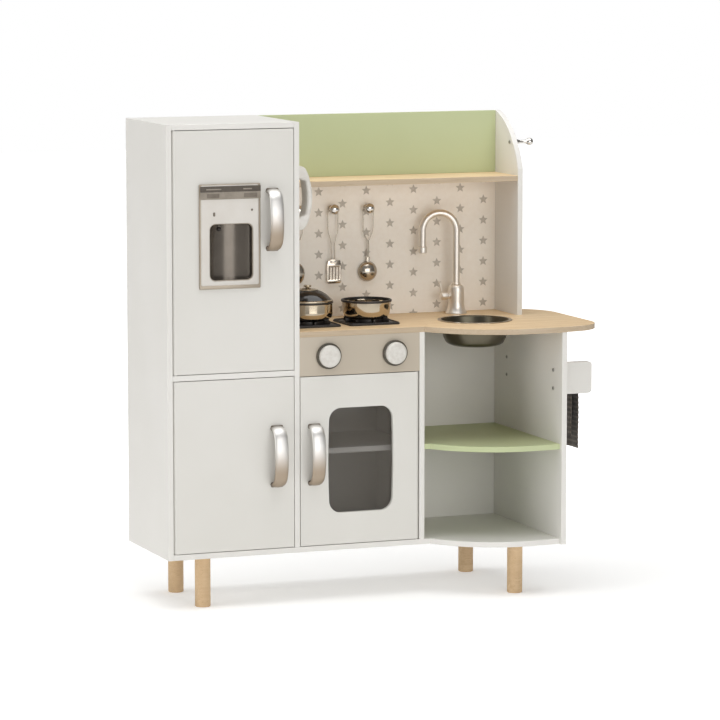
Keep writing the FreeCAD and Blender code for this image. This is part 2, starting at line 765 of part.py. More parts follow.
def pot_lid(x):
    """A dome with a locating skirt inside the pot's rim and a small knob."""
    z = worktop_z1 + burner_rise + pot_height + 2 * running_gap
    rim = pot_radius

    def dome(radius, height):
        sphere_radius = (radius ** 2 + height ** 2) / (2 * height)
        ball = Part.makeSphere(sphere_radius, Vector(x, burner_middle_y, z + height - sphere_radius))
        block = box(x - rim - 1, x + rim + 1, burner_middle_y - rim - 1, burner_middle_y + rim + 1, z, z + height)
        return ball.common(block)

    shell = dome(rim, lid_dome).cut(dome(rim - 2 * lid_wall, lid_dome - lid_wall))
    skirt_radius = rim - pot_wall - running_gap
    skirt = Part.makeCylinder(skirt_radius, 2 * lid_wall, Vector(x, burner_middle_y, z - lid_wall))
    skirt = skirt.cut(Part.makeCylinder(skirt_radius - lid_wall, 2 * lid_wall,
                                        Vector(x, burner_middle_y, z - lid_wall)))
    stem = z + lid_dome - lid_wall / 2
    knob_top = stem + lid_knob_height
    grip = turned([(0, 0), (3.5, 0), (3.5, 3), (lid_knob_radius, 5), (lid_knob_radius, 8),
                   (lid_knob_radius - 3, lid_knob_height), (0, lid_knob_height)],
                  Vector(x, burner_middle_y, knob_top - lid_knob_height), Z)
    return fused([shell, skirt, grip])


def pan(x):
    z = worktop_z1 + burner_rise + running_gap
    top = pan_height
    rim = pan_radius
    base = pan_base_radius
    lip = rim - pan_rim
    profile = [(0, 0), (base, 0), (base + 8, 3), (lip - 4, 15), (lip, top - 3), (rim, top - 2), (rim, top),
               (lip - pan_wall, top), (lip - pan_wall - 4, 15 + pan_wall), (base + 7, 3 + pan_wall),
               (base - 1, pan_wall), (0, pan_wall)]
    return turned(profile, Vector(x, burner_middle_y, z), Z)


def hob():
    left, right = burner_middles()
    save("left_burner", burner(left))
    save("right_burner", burner(right))
    save("pot", pot(left))
    save("pot_lid", pot_lid(left))
    save("pan", pan(right))


# ---------------------------------------------------------------- sink, tap
def sink_bowl():
    flange = sink_flange_thickness
    r = sink_radius
    t = sink_wall
    low = sink_bottom_radius
    deep = sink_depth
    seat = running_gap
    profile = [(0, -deep), (low, -deep), (low + 12, -deep + 5), (r - 7, -deep + 20), (r, seat),
               (r + sink_flange, seat), (r + sink_flange, seat + flange / 2), (r + sink_flange - 1, seat + flange),
               (r - t - 1, seat + flange), (r - t, seat), (r - 7 - t, -deep + 20 + t / 2),
               (low + 12 - t, -deep + 5 + t), (low - t, -deep + t), (0, -deep + t)]
    return turned(profile, Vector(sink_mx, sink_y, worktop_z1), Z)


def tap_base():
    r = tap_body_radius
    h = tap_body_height
    profile = [(0, 0), (tap_flange_radius, 0), (tap_flange_radius, 2), (r + 2, tap_flange_height + 3),
               (r, tap_flange_height + 9), (r, h - tap_shoulder), (tap_pipe_radius + 3, h), (0, h)]
    body = turned(profile, Vector(tap_mx, tap_y, worktop_z1), Z)
    stem_z = worktop_z0 - tap_nut_thickness - 4
    stem = rod(tap_stem_radius, (tap_mx, tap_y, stem_z), (tap_mx, tap_y, worktop_z1 + 1))
    body = fused([body, stem])
    top = worktop_z1 + h
    seat = rod(tap_pipe_radius + shaft_clearance, (tap_mx, tap_y, top - tap_seat_depth), (tap_mx, tap_y, top + 1))
    pin_z = worktop_z1 + lever_height
    bore = rod(lever_pin_radius + shaft_clearance, (tap_mx - r - 1, tap_y, pin_z),
               (tap_mx - r + lever_pin_length + running_gap, tap_y, pin_z))
    return body.cut(seat).cut(bore)


def tap_spout():
    """A swan neck: straight pipe, half circle, short drop and outlet."""
    bottom = worktop_z1 + tap_body_height - tap_seat_depth + running_gap
    arc_z = worktop_z1 + tap_arc_height
    far = tap_mx + 2 * tap_arc_radius
    pipe = rod(tap_pipe_radius, (tap_mx, tap_y, bottom), (tap_mx, tap_y, arc_z))
    bend = half_ring(Vector(tap_mx + tap_arc_radius, tap_y, arc_z), tap_arc_radius, tap_pipe_radius)
    drop_z = arc_z - tap_drop
    drop = rod(tap_pipe_radius, (far, tap_y, drop_z), (far, tap_y, arc_z))
    outlet = rod(tap_outlet_radius, (far, tap_y, drop_z - tap_outlet_length), (far, tap_y, drop_z))
    shape = fused([pipe, bend, drop, outlet])
    mouth = rod(tap_outlet_radius - 2, (far, tap_y, drop_z - tap_outlet_length - 1),
                (far, tap_y, drop_z - tap_outlet_length + 6))
    shape = shape.cut(mouth)
    shape.rotate(Vector(tap_mx, tap_y, 0), Z, tap_rest_angle)
    return shape


def tap_lever():
    z = worktop_z1 + lever_height
    x0 = tap_mx - tap_body_radius
    face = x0 - running_gap
    end = face - lever_stub_length
    stub = rod(lever_stub_radius, (face, tap_y, z), (end, tap_y, z))
    pin = rod(lever_pin_radius, (face, tap_y, z), (x0 + lever_pin_length, tap_y, z))
    lean = math.radians(lever_rod_lean)
    foot = Vector(end + lever_rod_radius + lever_rod_inset, tap_y, z)
    tip = foot + Vector(-math.sin(lean), 0, math.cos(lean)) * lever_rod_length
    stick = rod(lever_rod_radius, tuple(foot), tuple(tip))
    ball = Part.makeSphere(lever_rod_radius, tip)
    round_about = tap_body_radius + running_gap
    stub = stub.cut(rod(round_about, (tap_mx, tap_y, worktop_z1), (tap_mx, tap_y, z + lever_rod_length)))
    return fused([stub, pin, stick, ball])


def tap_nut():
    z = worktop_z0 - tap_nut_thickness
    corner = [Vector(tap_mx + tap_nut_radius * math.cos(math.radians(60 * k)),
                     tap_y + tap_nut_radius * math.sin(math.radians(60 * k)), z) for k in range(6)]
    shape = prism(corner, Z, tap_nut_thickness)
    return shape.cut(rod(tap_stem_radius, (tap_mx, tap_y, z - 1), (tap_mx, tap_y, worktop_z0 + 1)))


def sink_and_tap():
    save("sink_bowl", sink_bowl())
    save("tap_base", tap_base())
    save("tap_spout", tap_spout())
    save("tap_lever", tap_lever())
    save("tap_nut", tap_nut())


# ---------------------------------------------------------------- utensils
hook_z = worktop_z1 + hook_height
wire_y = back_y0 - wire_from_wall


def utensil_hook(x):
    reach = hook_reach
    head = reach - hook_head_thickness
    profile = [(0, 0), (hook_plate_radius, 0), (hook_plate_radius, hook_plate_thickness),
               (hook_neck_radius, hook_plate_thickness + 2), (hook_neck_radius, head),
               (hook_head_radius - 1.5, head), (hook_head_radius, head + 1.5),
               (hook_head_radius, reach - 2.5), (hook_head_radius - 3, reach), (0, reach)]
    return turned(profile, Vector(x, back_y0, hook_z), Vector(0, -1, 0))


def wire_handle(x):
    """A bent wire: a loop over the hook's neck that narrows to a stem.

    Returns the solids and the height of the stem's lower end.
    """
    top = hook_z + hook_neck_radius + wire_gap + wire_radius
    bend_z = top - loop_half_width
    neck_z = bend_z - loop_length
    foot_z = neck_z - handle_wire_length
    made = [half_ring(Vector(x, wire_y, bend_z), loop_half_width, wire_radius)]
    for way in (-1, 1):
        side = (x + way * loop_half_width, wire_y, bend_z)
        neck = (x + way * handle_wire_half, wire_y, neck_z)
        foot = (x + way * handle_wire_half, wire_y, foot_z)
        made.append(rod(wire_radius, side, neck))
        made.append(rod(wire_radius, neck, foot))
        made.append(Part.makeSphere(wire_radius, Vector(*side)))
        made.append(Part.makeSphere(wire_radius, Vector(*neck)))
    return made, foot_z


def turner(x):
    wire, foot_z = wire_handle(x)
    half = turner_thickness / 2
    top = foot_z + blade_lap
    low = top - turner_blade_height
    blade = rounded_box(x - turner_width / 2, x + turner_width / 2, wire_y - half, wire_y + half,
                        low, top, Y, turner_corner)
    pitch = turner_width / (turner_slots + 1)
    for k in range(turner_slots):
        slot_x = x - turner_width / 2 + (k + 1) * pitch
        slot_z = (top + low) / 2 - turner_slot_drop
        slot = rounded_box(slot_x - turner_slot_width / 2, slot_x + turner_slot_width / 2, wire_y - 5, wire_y + 5,
                           slot_z - turner_slot_length / 2, slot_z + turner_slot_length / 2, Y,
                           turner_slot_width / 2 - 0.1)
        blade = blade.cut(slot)
    return fused(wire + [blade])


def ladle(x):
    """A bowl that opens to the front, with its rim on the wire."""
    wire, foot_z = wire_handle(x)
    ball_radius = (ladle_radius ** 2 + ladle_depth ** 2) / (2 * ladle_depth)
    middle = Vector(x, wire_y + ladle_depth / 2 - ball_radius, foot_z - ladle_radius + blade_lap)
    rim_y = wire_y - ladle_depth / 2
    r = 2 * ladle_radius
    cap = box(x - r, x + r, rim_y, rim_y + r, middle.z - r, middle.z + r)
    bowl = Part.makeSphere(ball_radius, middle).common(cap)
    bowl = bowl.cut(Part.makeSphere(ball_radius - ladle_wall, middle))
    tang = box(x - 4, x + 4, rim_y, wire_y + wire_radius, foot_z - 2, foot_z + 4)
    tang = tang.cut(Part.makeSphere(ball_radius - ladle_wall, middle))
    return fused(wire + [bowl, tang])


def serving_spoon(x):
    """A flat oval blade on the wire."""
    wire, foot_z = wire_handle(x)
    middle_z = foot_z - spoon_half_height + 3
    y = wire_y - spoon_depth / 2
    top = Vector(x, y, middle_z + spoon_half_height)
    low = Vector(x, y, middle_z - spoon_half_height)
    right = Vector(x + spoon_half_width, y, middle_z)
    left = Vector(x - spoon_half_width, y, middle_z)
    blade = prism([top, (right, low), (left, top)], Y, spoon_depth)
    blade = blade.makeFillet(spoon_tip_radius, corner_edges(blade, Y))
    return fused(wire + [blade])


def utensils():
    places = [fridge_width + hook_from_fridge + k * hook_pitch for k in range(hook_count)]
    save("utensil_hooks", *[utensil_hook(x) for x in places])
    save("serving_spoon", serving_spoon(places[0]))
    save("turner", turner(places[1]))
    save("ladle", ladle(places[2]))


# ---------------------------------------------------------------- telephone
def telephone():
    x0 = fridge_width
    y1 = phone_y + phone_width
    z = phone_middle_z
    half = cradle_height / 2
    cradle = rounded_box(x0, x0 + cradle_thickness, phone_y, y1, z - half, z + half, X, 8)
    save("phone_cradle", cradle)

    seat = x0 + cradle_thickness + running_gap
    outer = x0 + handset_reach
    tip = handset_length / 2
    ear = tip - handset_ear_height
    slope = handset_slope
    ear_end = seat + handset_ear_reach
    inside = outer - handset_grip
    points = [Vector(seat, phone_y, z - tip + slope)]
    points.append(Vector(ear_end, phone_y, z - tip))
    points.append((Vector(outer, phone_y, z), Vector(ear_end, phone_y, z + tip)))
    points.append(Vector(seat, phone_y, z + tip - slope))
    points.append(Vector(seat, phone_y, z + ear + slope))
    points.append(Vector(seat + 2 * slope, phone_y, z + ear))
    points.append((Vector(inside, phone_y, z), Vector(seat + 2 * slope, phone_y, z - ear)))
    points.append(Vector(seat, phone_y, z - ear - slope))
    save("phone_handset", prism(points, Y, phone_width))


# ---------------------------------------------------------------- right side
def side_screw(y, z):
    """A countersunk-head screw that goes out through a side panel."""
    head = turned([(0, 0), (screw_head_radius, 0), (screw_head_radius, 0.8),
                   (screw_radius, screw_head_height), (0, screw_head_height)],
                  Vector(side_x0 - screw_head_height, y, z), X)
    shank = rod(screw_radius, (side_x0 - 1, y, z), (side_x0 + side_screw_length - screw_head_height, y, z))
    return fused([head, shank])


def right_side_fittings():
    reach = coat_hook_reach
    neck_end = reach - coat_ball_radius
    profile = [(0, 0), (coat_flange_radius, 0), (coat_flange_radius - 1, coat_flange_thickness),
               (coat_neck_radius, coat_flange_thickness + 6), (coat_neck_radius, neck_end), (0, neck_end)]
    stem = turned(profile, Vector(side_x1, coat_hook_y, coat_hook_z), X)
    ball = Part.makeSphere(coat_ball_radius, Vector(side_x1 + neck_end, coat_hook_y, coat_hook_z))
    hook = fused([stem, ball])
    hook = hook.cut(rod(screw_radius, (side_x1 - 1, coat_hook_y, coat_hook_z),
                        (side_x0 + side_screw_length - screw_head_height, coat_hook_y, coat_hook_z)))
    save("coat_hook", hook)

    x = side_x1 + rail_x
    z = bracket_z + rail_z
    brackets = []
    for k in range(2):
        y = bracket_front_y + k * bracket_pitch
        shape = box(side_x1, side_x1 + bracket_reach, y, y + board, bracket_z, bracket_z + bracket_height)
        outer = [e for e in corner_edges(shape, Y) if e.Vertexes[0].Point.x > side_x1 + 1]
        shape = shape.makeFillet(bracket_corner, outer)
        brackets.append(shape)
    rail_y0 = bracket_front_y + board - rail_bite
    rail_y1 = bracket_front_y + bracket_pitch + rail_bite
    rail = rod(rail_radius, (x, rail_y0, z), (x, rail_y1, z))
    screws = [side_screw(y, zz) for y, zz in bracket_screws()]
    cut = Part.makeCompound(screws + [rail])
    save("rail_brackets", *[b.cut(cut) for b in brackets])
    save("towel_rail", rail)
    save("side_screws", side_screw(coat_hook_y, coat_hook_z), *screws)

    inner = rail_radius + running_gap
    outer = inner + towel_thickness
    y0 = bracket_front_y + board + towel_side_gap
    y1 = bracket_front_y + bracket_pitch - towel_side_gap
    roll = rod(outer, (x, y0, z), (x, y1, z)).cut(rod(inner, (x, y0 - 1, z), (x, y1 + 1, z)))
    roll = roll.common(box(x - 2 * outer, x + 2 * outer, y0, y1, z, z + 2 * outer))
    front = box(x + inner, x + outer, y0, y1, z - towel_front_drop, z)
    rear = box(x - outer, x - inner, y0, y1, z - towel_back_drop, z)
    save("towel", fused([roll, front, rear]))


carcass()
doors()
dispenser()
knobs()
hob()
sink_and_tap()
utensils()
telephone()
right_side_fittings()
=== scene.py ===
from math import asin, atan2, cos, hypot, pi, radians, sin, tau

import bmesh
import bpy
from mathutils import Matrix, Vector


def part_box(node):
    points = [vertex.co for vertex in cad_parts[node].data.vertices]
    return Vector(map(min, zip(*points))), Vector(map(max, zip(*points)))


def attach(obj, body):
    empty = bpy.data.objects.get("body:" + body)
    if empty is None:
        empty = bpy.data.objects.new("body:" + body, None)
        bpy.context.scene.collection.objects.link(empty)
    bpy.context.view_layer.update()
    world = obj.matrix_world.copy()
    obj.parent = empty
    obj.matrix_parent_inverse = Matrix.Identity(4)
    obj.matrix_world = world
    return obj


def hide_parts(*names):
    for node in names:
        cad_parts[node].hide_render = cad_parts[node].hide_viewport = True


# Looks of a wooden toy kitchen.  Boards, doors and legs are the CAD parts with
# painted, printed and turned-wood finishes.  Handles, knobs, hob, cookware,
# sink, tap, utensils, telephone, dispenser and towel are shaped here.
# x runs to the right, y to the back, z up.  Shapes are given in millimetres,
# and finishes, lights and the towel in metres, as the frame is.

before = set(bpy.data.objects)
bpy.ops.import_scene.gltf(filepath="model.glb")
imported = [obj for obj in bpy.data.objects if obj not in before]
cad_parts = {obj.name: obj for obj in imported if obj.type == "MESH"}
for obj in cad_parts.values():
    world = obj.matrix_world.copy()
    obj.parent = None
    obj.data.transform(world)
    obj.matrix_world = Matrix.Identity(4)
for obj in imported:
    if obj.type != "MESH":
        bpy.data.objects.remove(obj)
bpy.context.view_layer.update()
MM = 0.001
MERGE = 0.001 * MM
RIB_PITCH = 11 * MM
X, Y, Z = Vector((1, 0, 0)), Vector((0, 1, 0)), Vector((0, 0, 1))


# ---- camera, light
def set_camera():
    """A long lens from the front left, looking slightly down."""
    camera = bpy.data.objects.new("camera", bpy.data.cameras.new("camera"))
    bpy.context.scene.collection.objects.link(camera)
    camera.data.sensor_width = 36
    camera.data.lens = 185.4
    camera.data.clip_end = 60
    camera.location = (-2.948, -7.507, 1.517)
    camera.rotation_euler = Vector((0.3608, 0.9245, -0.1233)).to_track_quat("-Z", "Y").to_euler()
    bpy.context.scene.camera = camera


def soft_light(name, place, aim, width, height, power, tint):
    """A large soft panel of light that faces its aim."""
    lamp = bpy.data.objects.new(name, bpy.data.lights.new(name, "AREA"))
    bpy.context.scene.collection.objects.link(lamp)
    lamp.data.shape = "RECTANGLE"
    lamp.data.size, lamp.data.size_y = width, height
    lamp.data.energy = power
    lamp.data.color = tint
    lamp.location = place
    lamp.rotation_euler = (Vector(aim) - Vector(place)).to_track_quat("-Z", "Y").to_euler()


# ---- node building
class Wire:
    """One output of a node.  Arithmetic on it adds the nodes that work it out."""

    def __init__(self, bench, socket):
        self.bench, self.socket = bench, socket

    def math(self, operation, *others):
        values = dict(enumerate((self,) + others))
        return self.bench.node("ShaderNodeMath", {"operation": operation}, values)

    def __add__(self, other):
        return self.math("ADD", other)

    __radd__ = __add__

    def __mul__(self, other):
        return self.math("MULTIPLY", other)

    __rmul__ = __mul__

    def __sub__(self, other):
        return self.math("SUBTRACT", other)

    def __rsub__(self, other):
        return self.bench.node("ShaderNodeMath", {"operation": "SUBTRACT"}, {0: other, 1: self})

    def __truediv__(self, other):
        return self.math("DIVIDE", other)


class Bench:
    """A node tree being built, for a finish or for a repeating part."""

    def __init__(self, tree):
        self.tree = tree

    def node(self, kind, settings=None, values=None, out=0):
        """Adds a node: its type, its settings, then the values or wires of its sockets."""
        made = self.tree.nodes.new(kind)
        for key, value in (settings or {}).items():
            if key == "stops":
                ramp = made.color_ramp.elements
                while len(ramp) < len(value):
                    ramp.new(1)
                for stop, (place, colour) in zip(ramp, value):
                    stop.position, stop.color = place, colour
            else:
                setattr(made, key, value)
        for key, value in (values or {}).items():
            self.plug(made.inputs[key], value)
        return Wire(self, made.outputs[out])

    def plug(self, socket, value):
        if isinstance(value, Wire):
            self.tree.links.new(value.socket, socket)
        else:
            socket.default_value = value


class Finish(Bench):
    """A material: plain numbers go on its shader, wires make it vary."""

    def __init__(self, name, **shader):
        self.material = bpy.data.materials.new(name)
        self.material.use_nodes = True
        super().__init__(self.material.node_tree)
        self.shader = self.tree.nodes["Principled BSDF"]
        self.set(**shader)

    def set(self, **values):
        for key, value in values.items():
            self.plug(self.shader.inputs[key.replace("_", " ")], value)

    def place(self, x=1, y=1, z=1, turn=(0, 0, 0)):
        spot = self.node("ShaderNodeTexCoord", None, None, "Object")
        return self.node("ShaderNodeMapping", None,
                         {"Vector": spot, "Scale": (x, y, z), "Rotation": turn})

    def axes(self, which="Object"):
        spot = self.node("ShaderNodeTexCoord", None, None, which)
        parts = self.node("ShaderNodeSeparateXYZ", None, {0: spot}).socket.node
        return [Wire(self, parts.outputs[k]) for k in range(3)]

    def noise(self, spot, scale, detail=3, rough=0.5, warp=0):
        values = {"Vector": spot, "Scale": scale, "Detail": detail, "Roughness": rough,
                  "Distortion": warp}
        return self.node("ShaderNodeTexNoise", None, values)

    def band(self, value, low, high, a=0, b=1):
        """Carries a value from low..high to a..b, smoothly, and stops at the ends."""
        values = {"Value": value, "From Min": low, "From Max": high, "To Min": a, "To Max": b}
        return self.node("ShaderNodeMapRange", {"interpolation_type": "SMOOTHSTEP"}, values)

    def blend(self, share, a, b):
        values = {0: share, 6: a, 7: b}
        return self.node("ShaderNodeMix", {"data_type": "RGBA"}, values, 2)

    def relief(self, height, distance, strength=1.0):
        values = {"Height": height, "Distance": distance, "Strength": strength}
        self.set(Normal=self.node("ShaderNodeBump", None, values))


def tone(red, green, blue):
    """A paint chart's 0 to 255 values as the shader's linear colour."""
    def linear(c):
        c /= 255
        return c / 12.92 if c <= 0.04045 else ((c + 0.055) / 1.055) ** 2.4
    return (linear(red), linear(green), linear(blue), 1.0)


# ---- finishes
def painted_board(name, light, shade, gloss=0.42):
    """Foil-wrapped board: cloudy tone, fine orange peel, faint scuffs."""
    f = Finish(name, Roughness=gloss)
    cloud = f.noise(f.place(), 2.6, 3, 0.55)
    speck = f.noise(f.place(), 420, 2)
    scuff = f.band(f.noise(f.place(9, 9, 2), 7, 5, 0.65, 0.4), 0.60, 0.74)
    base = f.blend(f.band(cloud, 0.3, 0.7), shade, light)
    f.set(Base_Color=f.blend(speck * 0.10 + scuff * 0.10, base, shade))
    f.set(Roughness=gloss + 0.10 * speck + 0.10 * scuff)
    f.relief(speck + 0.4 * cloud, 0.0004, 0.25)
    return f.material


def star_board(name, ground, shade, star):
    """Board printed on its front face: rows of five-point stars in a mottled ground."""
    pitch_x, pitch_z, drop = 0.0568, 0.0467, 0.0278
    start_x, start_z = 0.1802, 0.8723
    tip, waist = 0.0112, 0.47
    f = Finish(name, Roughness=0.5)
    x, _, z = f.axes()
    column = ((x - start_x) / pitch_x).math("ROUND")
    across = x - start_x - column * pitch_x
    odd = column.math("MODULO", 2).math("ABSOLUTE")
    level = z - start_z + odd * drop
    up = level - (level / pitch_z).math("ROUND") * pitch_z
    fifth = pi / 5
    angle = across.math("ARCTAN2", up).math("PINGPONG", fifth)
    reach = (across * across + up * up).math("SQRT")
    inner = (waist * cos(fifth), waist * sin(fifth))
    run = hypot(inner[1], 1 - inner[0])
    edge = reach * (angle.math("COSINE") * (inner[1] / run)
                    + angle.math("SINE") * ((1 - inner[0]) / run))
    mottle = f.noise(f.place(), 90, 4, 0.6)
    cloud = f.noise(f.place(), 5, 3)
    printed = f.band(edge + 0.0010 * mottle, tip * inner[1] / run + 0.0011,
                     tip * inner[1] / run - 0.0001)
    front = f.band(f.axes("Normal")[1], -0.4, -0.6)
    base = f.blend(f.band(cloud * 0.6 + mottle * 0.4, 0.35, 0.65), shade, ground)
    f.set(Base_Color=f.blend(printed * front * f.band(mottle, 0.2, 0.6, 0.58, 0.86), base, star))
    f.set(Roughness=0.46 + 0.12 * mottle)
    f.relief(mottle, 0.0003, 0.2)
    return f.material


def grained_wood(name, light, mid, dark, turn=(0, 0, 0), gloss=0.45, edge=0.0):
    """Sawn light wood: long figure, growth lines and short pores, with painted shade on the board's
    side faces.
    """
    f = Finish(name, Roughness=gloss)
    figure = f.noise(f.place(0.8, 7, 7, turn), 1.6, 3, 0.5, 0.8)
    rings = (figure * 15).math("PINGPONG", 1.0)
    streak = f.noise(f.place(2.2, 70, 70, turn), 2.2, 4, 0.6)
    pores = f.band(f.noise(f.place(28, 620, 620, turn), 1.0, 2), 0.60, 0.72)
    board = f.band(f.noise(f.place(0.5, 4, 4, turn), 2.0, 2), 0.35, 0.65)
    base = f.blend(f.band(streak, 0.3, 0.72), light, mid)
    base = f.blend(rings * 0.55, base, mid)
    base = f.blend(board * 0.50, base, mid)
    base = f.blend(pores * 0.45, base, dark)
    # Painted shade: faces that don't face up or down turn towards a grey-brown tone.
    if edge:
        level = f.axes("Normal")[2].math("ABSOLUTE")
        base = f.blend(f.band(level, 0.3, 0.8, edge, 0.0), base, tone(170, 158, 143))
    f.set(Base_Color=base)
    f.set(Roughness=gloss + 0.12 * streak + 0.10 * pores)
    f.relief(streak * 0.5 - pores, 0.0004, 0.35)
    return f.material


def bright_finish(name, gloss, brushed=0.0, along=(1, 1, 1)):
    """Bare metal with a little haze and fine rubbing marks, without its colour."""
    f = Finish(name, Metallic=1.0)
    haze = f.noise(f.place(), 18, 3)
    marks = f.noise(f.place(*along), 900, 2)
    f.set(Roughness=gloss + 0.06 * haze + brushed * marks)
    f.relief(marks + haze * 0.3, 0.00003, 0.10 + brushed)
    return f


def bright_metal(name, base, gloss, brushed=0.0, along=(1, 1, 1)):
    """Polished or satin metal, slightly clouded."""
    f = bright_finish(name, gloss, brushed, along)
    haze = f.band(f.noise(f.place(), 11, 3), 0.3, 0.7)
    f.set(Base_Color=f.blend(haze, base, tuple(c * 0.88 for c in base[:3]) + (1,)))
    return f.material


def handle_finish():
    """Satin silver with a painted warm reflection towards the handle's lower end, and painted shade
    near its feet.
    """
    f = bright_finish("satin_handle", 0.36, 0.10, (1, 1, 0.06))
    # Painted reflection: the base colour warms from silver to champagne towards the handle's lower end.
    low = f.node("ShaderNodeAttribute", {"attribute_name": "low_end"}, None, "Fac")
    # Painted shade: the base colour darkens near the feet, where the strap meets the door.
    foot = f.node("ShaderNodeAttribute", {"attribute_name": "foot"}, None, "Fac")
    base = f.blend(low, tone(232, 230, 227), tone(172, 157, 140))
    f.set(Base_Color=f.blend(foot, base, tone(122, 111, 99)))
    return f.material


def moulded_plastic(name, light, shade, gloss, metal=0.0, grit=0.15, scale=60):
    """Moulded or lacquered plastic with a fine spark-eroded skin."""
    f = Finish(name, Metallic=metal)
    skin = f.noise(f.place(), 700, 2)
    cloud = f.noise(f.place(), scale, 4, 0.6)
    f.set(Base_Color=f.blend(f.band(cloud, 0.35, 0.68), light, shade))
    f.set(Roughness=gloss + grit * skin + 0.05 * cloud)
    f.relief(skin, 0.00015, 0.25)
    return f.material


def smoked_pane_finish():
    """Thin dark plastic with faint smears."""
    f = Finish("smoked_pane", Specular_IOR_Level=0.5)
    smear = f.noise(f.place(6, 6, 2), 5, 4, 0.6, 0.5)
    f.set(Base_Color=f.blend(smear, tone(96, 90, 82), tone(106, 100, 92)))
    f.set(Roughness=0.06 + 0.10 * smear)
    f.set(Alpha=0.28 + 0.05 * smear)
    f.relief(smear, 0.0002, 0.05)
    return f.material


def towel_finish():
    """Dark waffle cloth over a fine yarn weave, with a painted highlight on its raised ribs and painted
    shade between them.
    """
    f = Finish("towel_cloth", Roughness=0.92, Sheen_Weight=0.35, Sheen_Roughness=0.5)
    across = f.node("ShaderNodeUVMap", {"uv_map": "cut"})
    parts = f.node("ShaderNodeSeparateXYZ", None, {0: across}).socket.node
    u, v = Wire(f, parts.outputs[0]), Wire(f, parts.outputs[1])
    yarn = (u * 2900).math("SINE") * (v * 2900).math("SINE")
    rib = (v * (2 * pi / RIB_PITCH)).math("SINE")
    fluff = f.noise(f.place(), 300, 4, 0.7)
    # Painted highlight and shade: the colour follows the ribs' relief, lighter on the crests, darker in
    # the grooves.
    base = f.blend(f.band(rib, -0.2, 1), tone(80, 73, 65), tone(122, 113, 102))
    f.set(Base_Color=f.blend(fluff * 0.4, base, tone(62, 56, 50)))
    f.set(Roughness=0.86 + 0.1 * fluff)
    f.relief(yarn * 0.25 + fluff * 0.5 + rib * 0.2, 0.0005, 0.6)
    return f.material


def floor_finish():
    """A pale floor that fades into the white surround."""
    f = Finish("pale_floor", Roughness=0.9, Specular_IOR_Level=0.1, Emission_Strength=1.0)
    away = f.node("ShaderNodeVectorMath", {"operation": "LENGTH"}, {0: f.place()}, "Value")
    glow = f.blend(f.band(away, 0.8, 2.2), (0.24, 0.24, 0.24, 1), (0.92, 0.92, 0.92, 1))
    seen = f.node("ShaderNodeLightPath", None, None, "Is Camera Ray")
    f.set(Emission_Color=f.blend(seen, (0.14, 0.135, 0.13, 1), glow))
    cloud = f.noise(f.place(), 0.8, 2)
    f.set(Base_Color=f.blend(cloud, tone(252, 252, 252), tone(250, 250, 249)))
    return f.material


WHITE = painted_board("white_board", tone(231, 229, 225), tone(226, 224, 219))
# Painted shade: the doors get a slightly dimmer copy of the board white, for their front faces.
DOOR_PAINTED_SHADE = painted_board("door_board", tone(224, 222, 217), tone(219, 217, 211))
SAGE = painted_board("sage_board", tone(195, 204, 161), tone(188, 197, 153))
TAUPE = painted_board("taupe_board", tone(195, 184, 168), tone(188, 177, 160))
STARS = star_board("star_board", tone(252, 246, 236), tone(246, 238, 226), tone(176, 167, 155))
# The worktop and upper shelf carry painted shade on their side faces.
OAK = grained_wood("light_wood", tone(243, 221, 186), tone(214, 184, 142), tone(170, 133, 95), edge=0.6)
LEG = grained_wood("leg_wood", tone(222, 194, 156), tone(205, 174, 134), tone(160, 124, 88),
                   (0, pi / 2, 0))
SATIN = handle_finish()
CHROME = bright_metal("chrome", tone(226, 222, 216), 0.05)
# Partly the steel's own colour, partly painted reflection: the base is warmed and darkened towards
# bronze for the wood and dark surroundings mirrored in the cookware.
STEEL_PAINTED_REFLECTION = bright_metal("pot_steel", tone(196, 183, 162), 0.07)
NICKEL = bright_metal("brushed_nickel", tone(242, 235, 226), 0.34, 0.04, (1, 1, 0.1))
WIRES = bright_metal("drawn_wire", tone(196, 186, 172), 0.16)
# Painted shade: the basin's steel is made dark and brownish for the shade inside and under the bowl.
BASIN_PAINTED_SHADE = bright_metal("basin_steel", tone(106, 101, 87), 0.26, 0.08)
STEEL = bright_metal("steel", tone(190, 188, 184), 0.22, 0.10)
PHONE = moulded_plastic("white_plastic", tone(226, 223, 217), tone(219, 215, 208), 0.28)
SILVER = moulded_plastic("silver_plastic", tone(206, 202, 196), tone(202, 197, 190), 0.28, 0.25, 0.10,
                         12)
# Painted shade: a darker, browner copy of the silver plastic for the bezel's outer frame and edges.
BEVEL = moulded_plastic("silver_edge", tone(164, 153, 138), tone(156, 145, 130), 0.24, 0.5, 0.10, 12)
RECESS = moulded_plastic("dark_plastic", tone(122, 115, 107), tone(112, 105, 97), 0.16, 0.75, 0.06, 12)
BLACK = moulded_plastic("black_plastic", tone(44, 38, 34), tone(33, 28, 25), 0.34)
SKIRT = moulded_plastic("knob_skirt", tone(84, 78, 66), tone(62, 57, 47), 0.35)
KNOB = moulded_plastic("knob_face", tone(218, 215, 209), tone(208, 204, 197), 0.30, 0.15, 0.12, 120)
STRIP = moulded_plastic("label_strip", tone(150, 140, 127), tone(137, 128, 116), 0.35)
BAND = moulded_plastic("display_band", tone(86, 77, 67), tone(76, 68, 59), 0.35)
MARK = moulded_plastic("label_mark", tone(122, 112, 100), tone(108, 99, 88), 0.4)
# Painted reflection: the pot lid's dome is made dark for the dark surroundings a polished steel lid
# would mirror.
DARK_REFLECTION_DOME = moulded_plastic("dark_glass", tone(40, 37, 35), tone(26, 24, 23), 0.03, 0.0, 0.03)
PANE = smoked_pane_finish()
TOWEL = towel_finish()


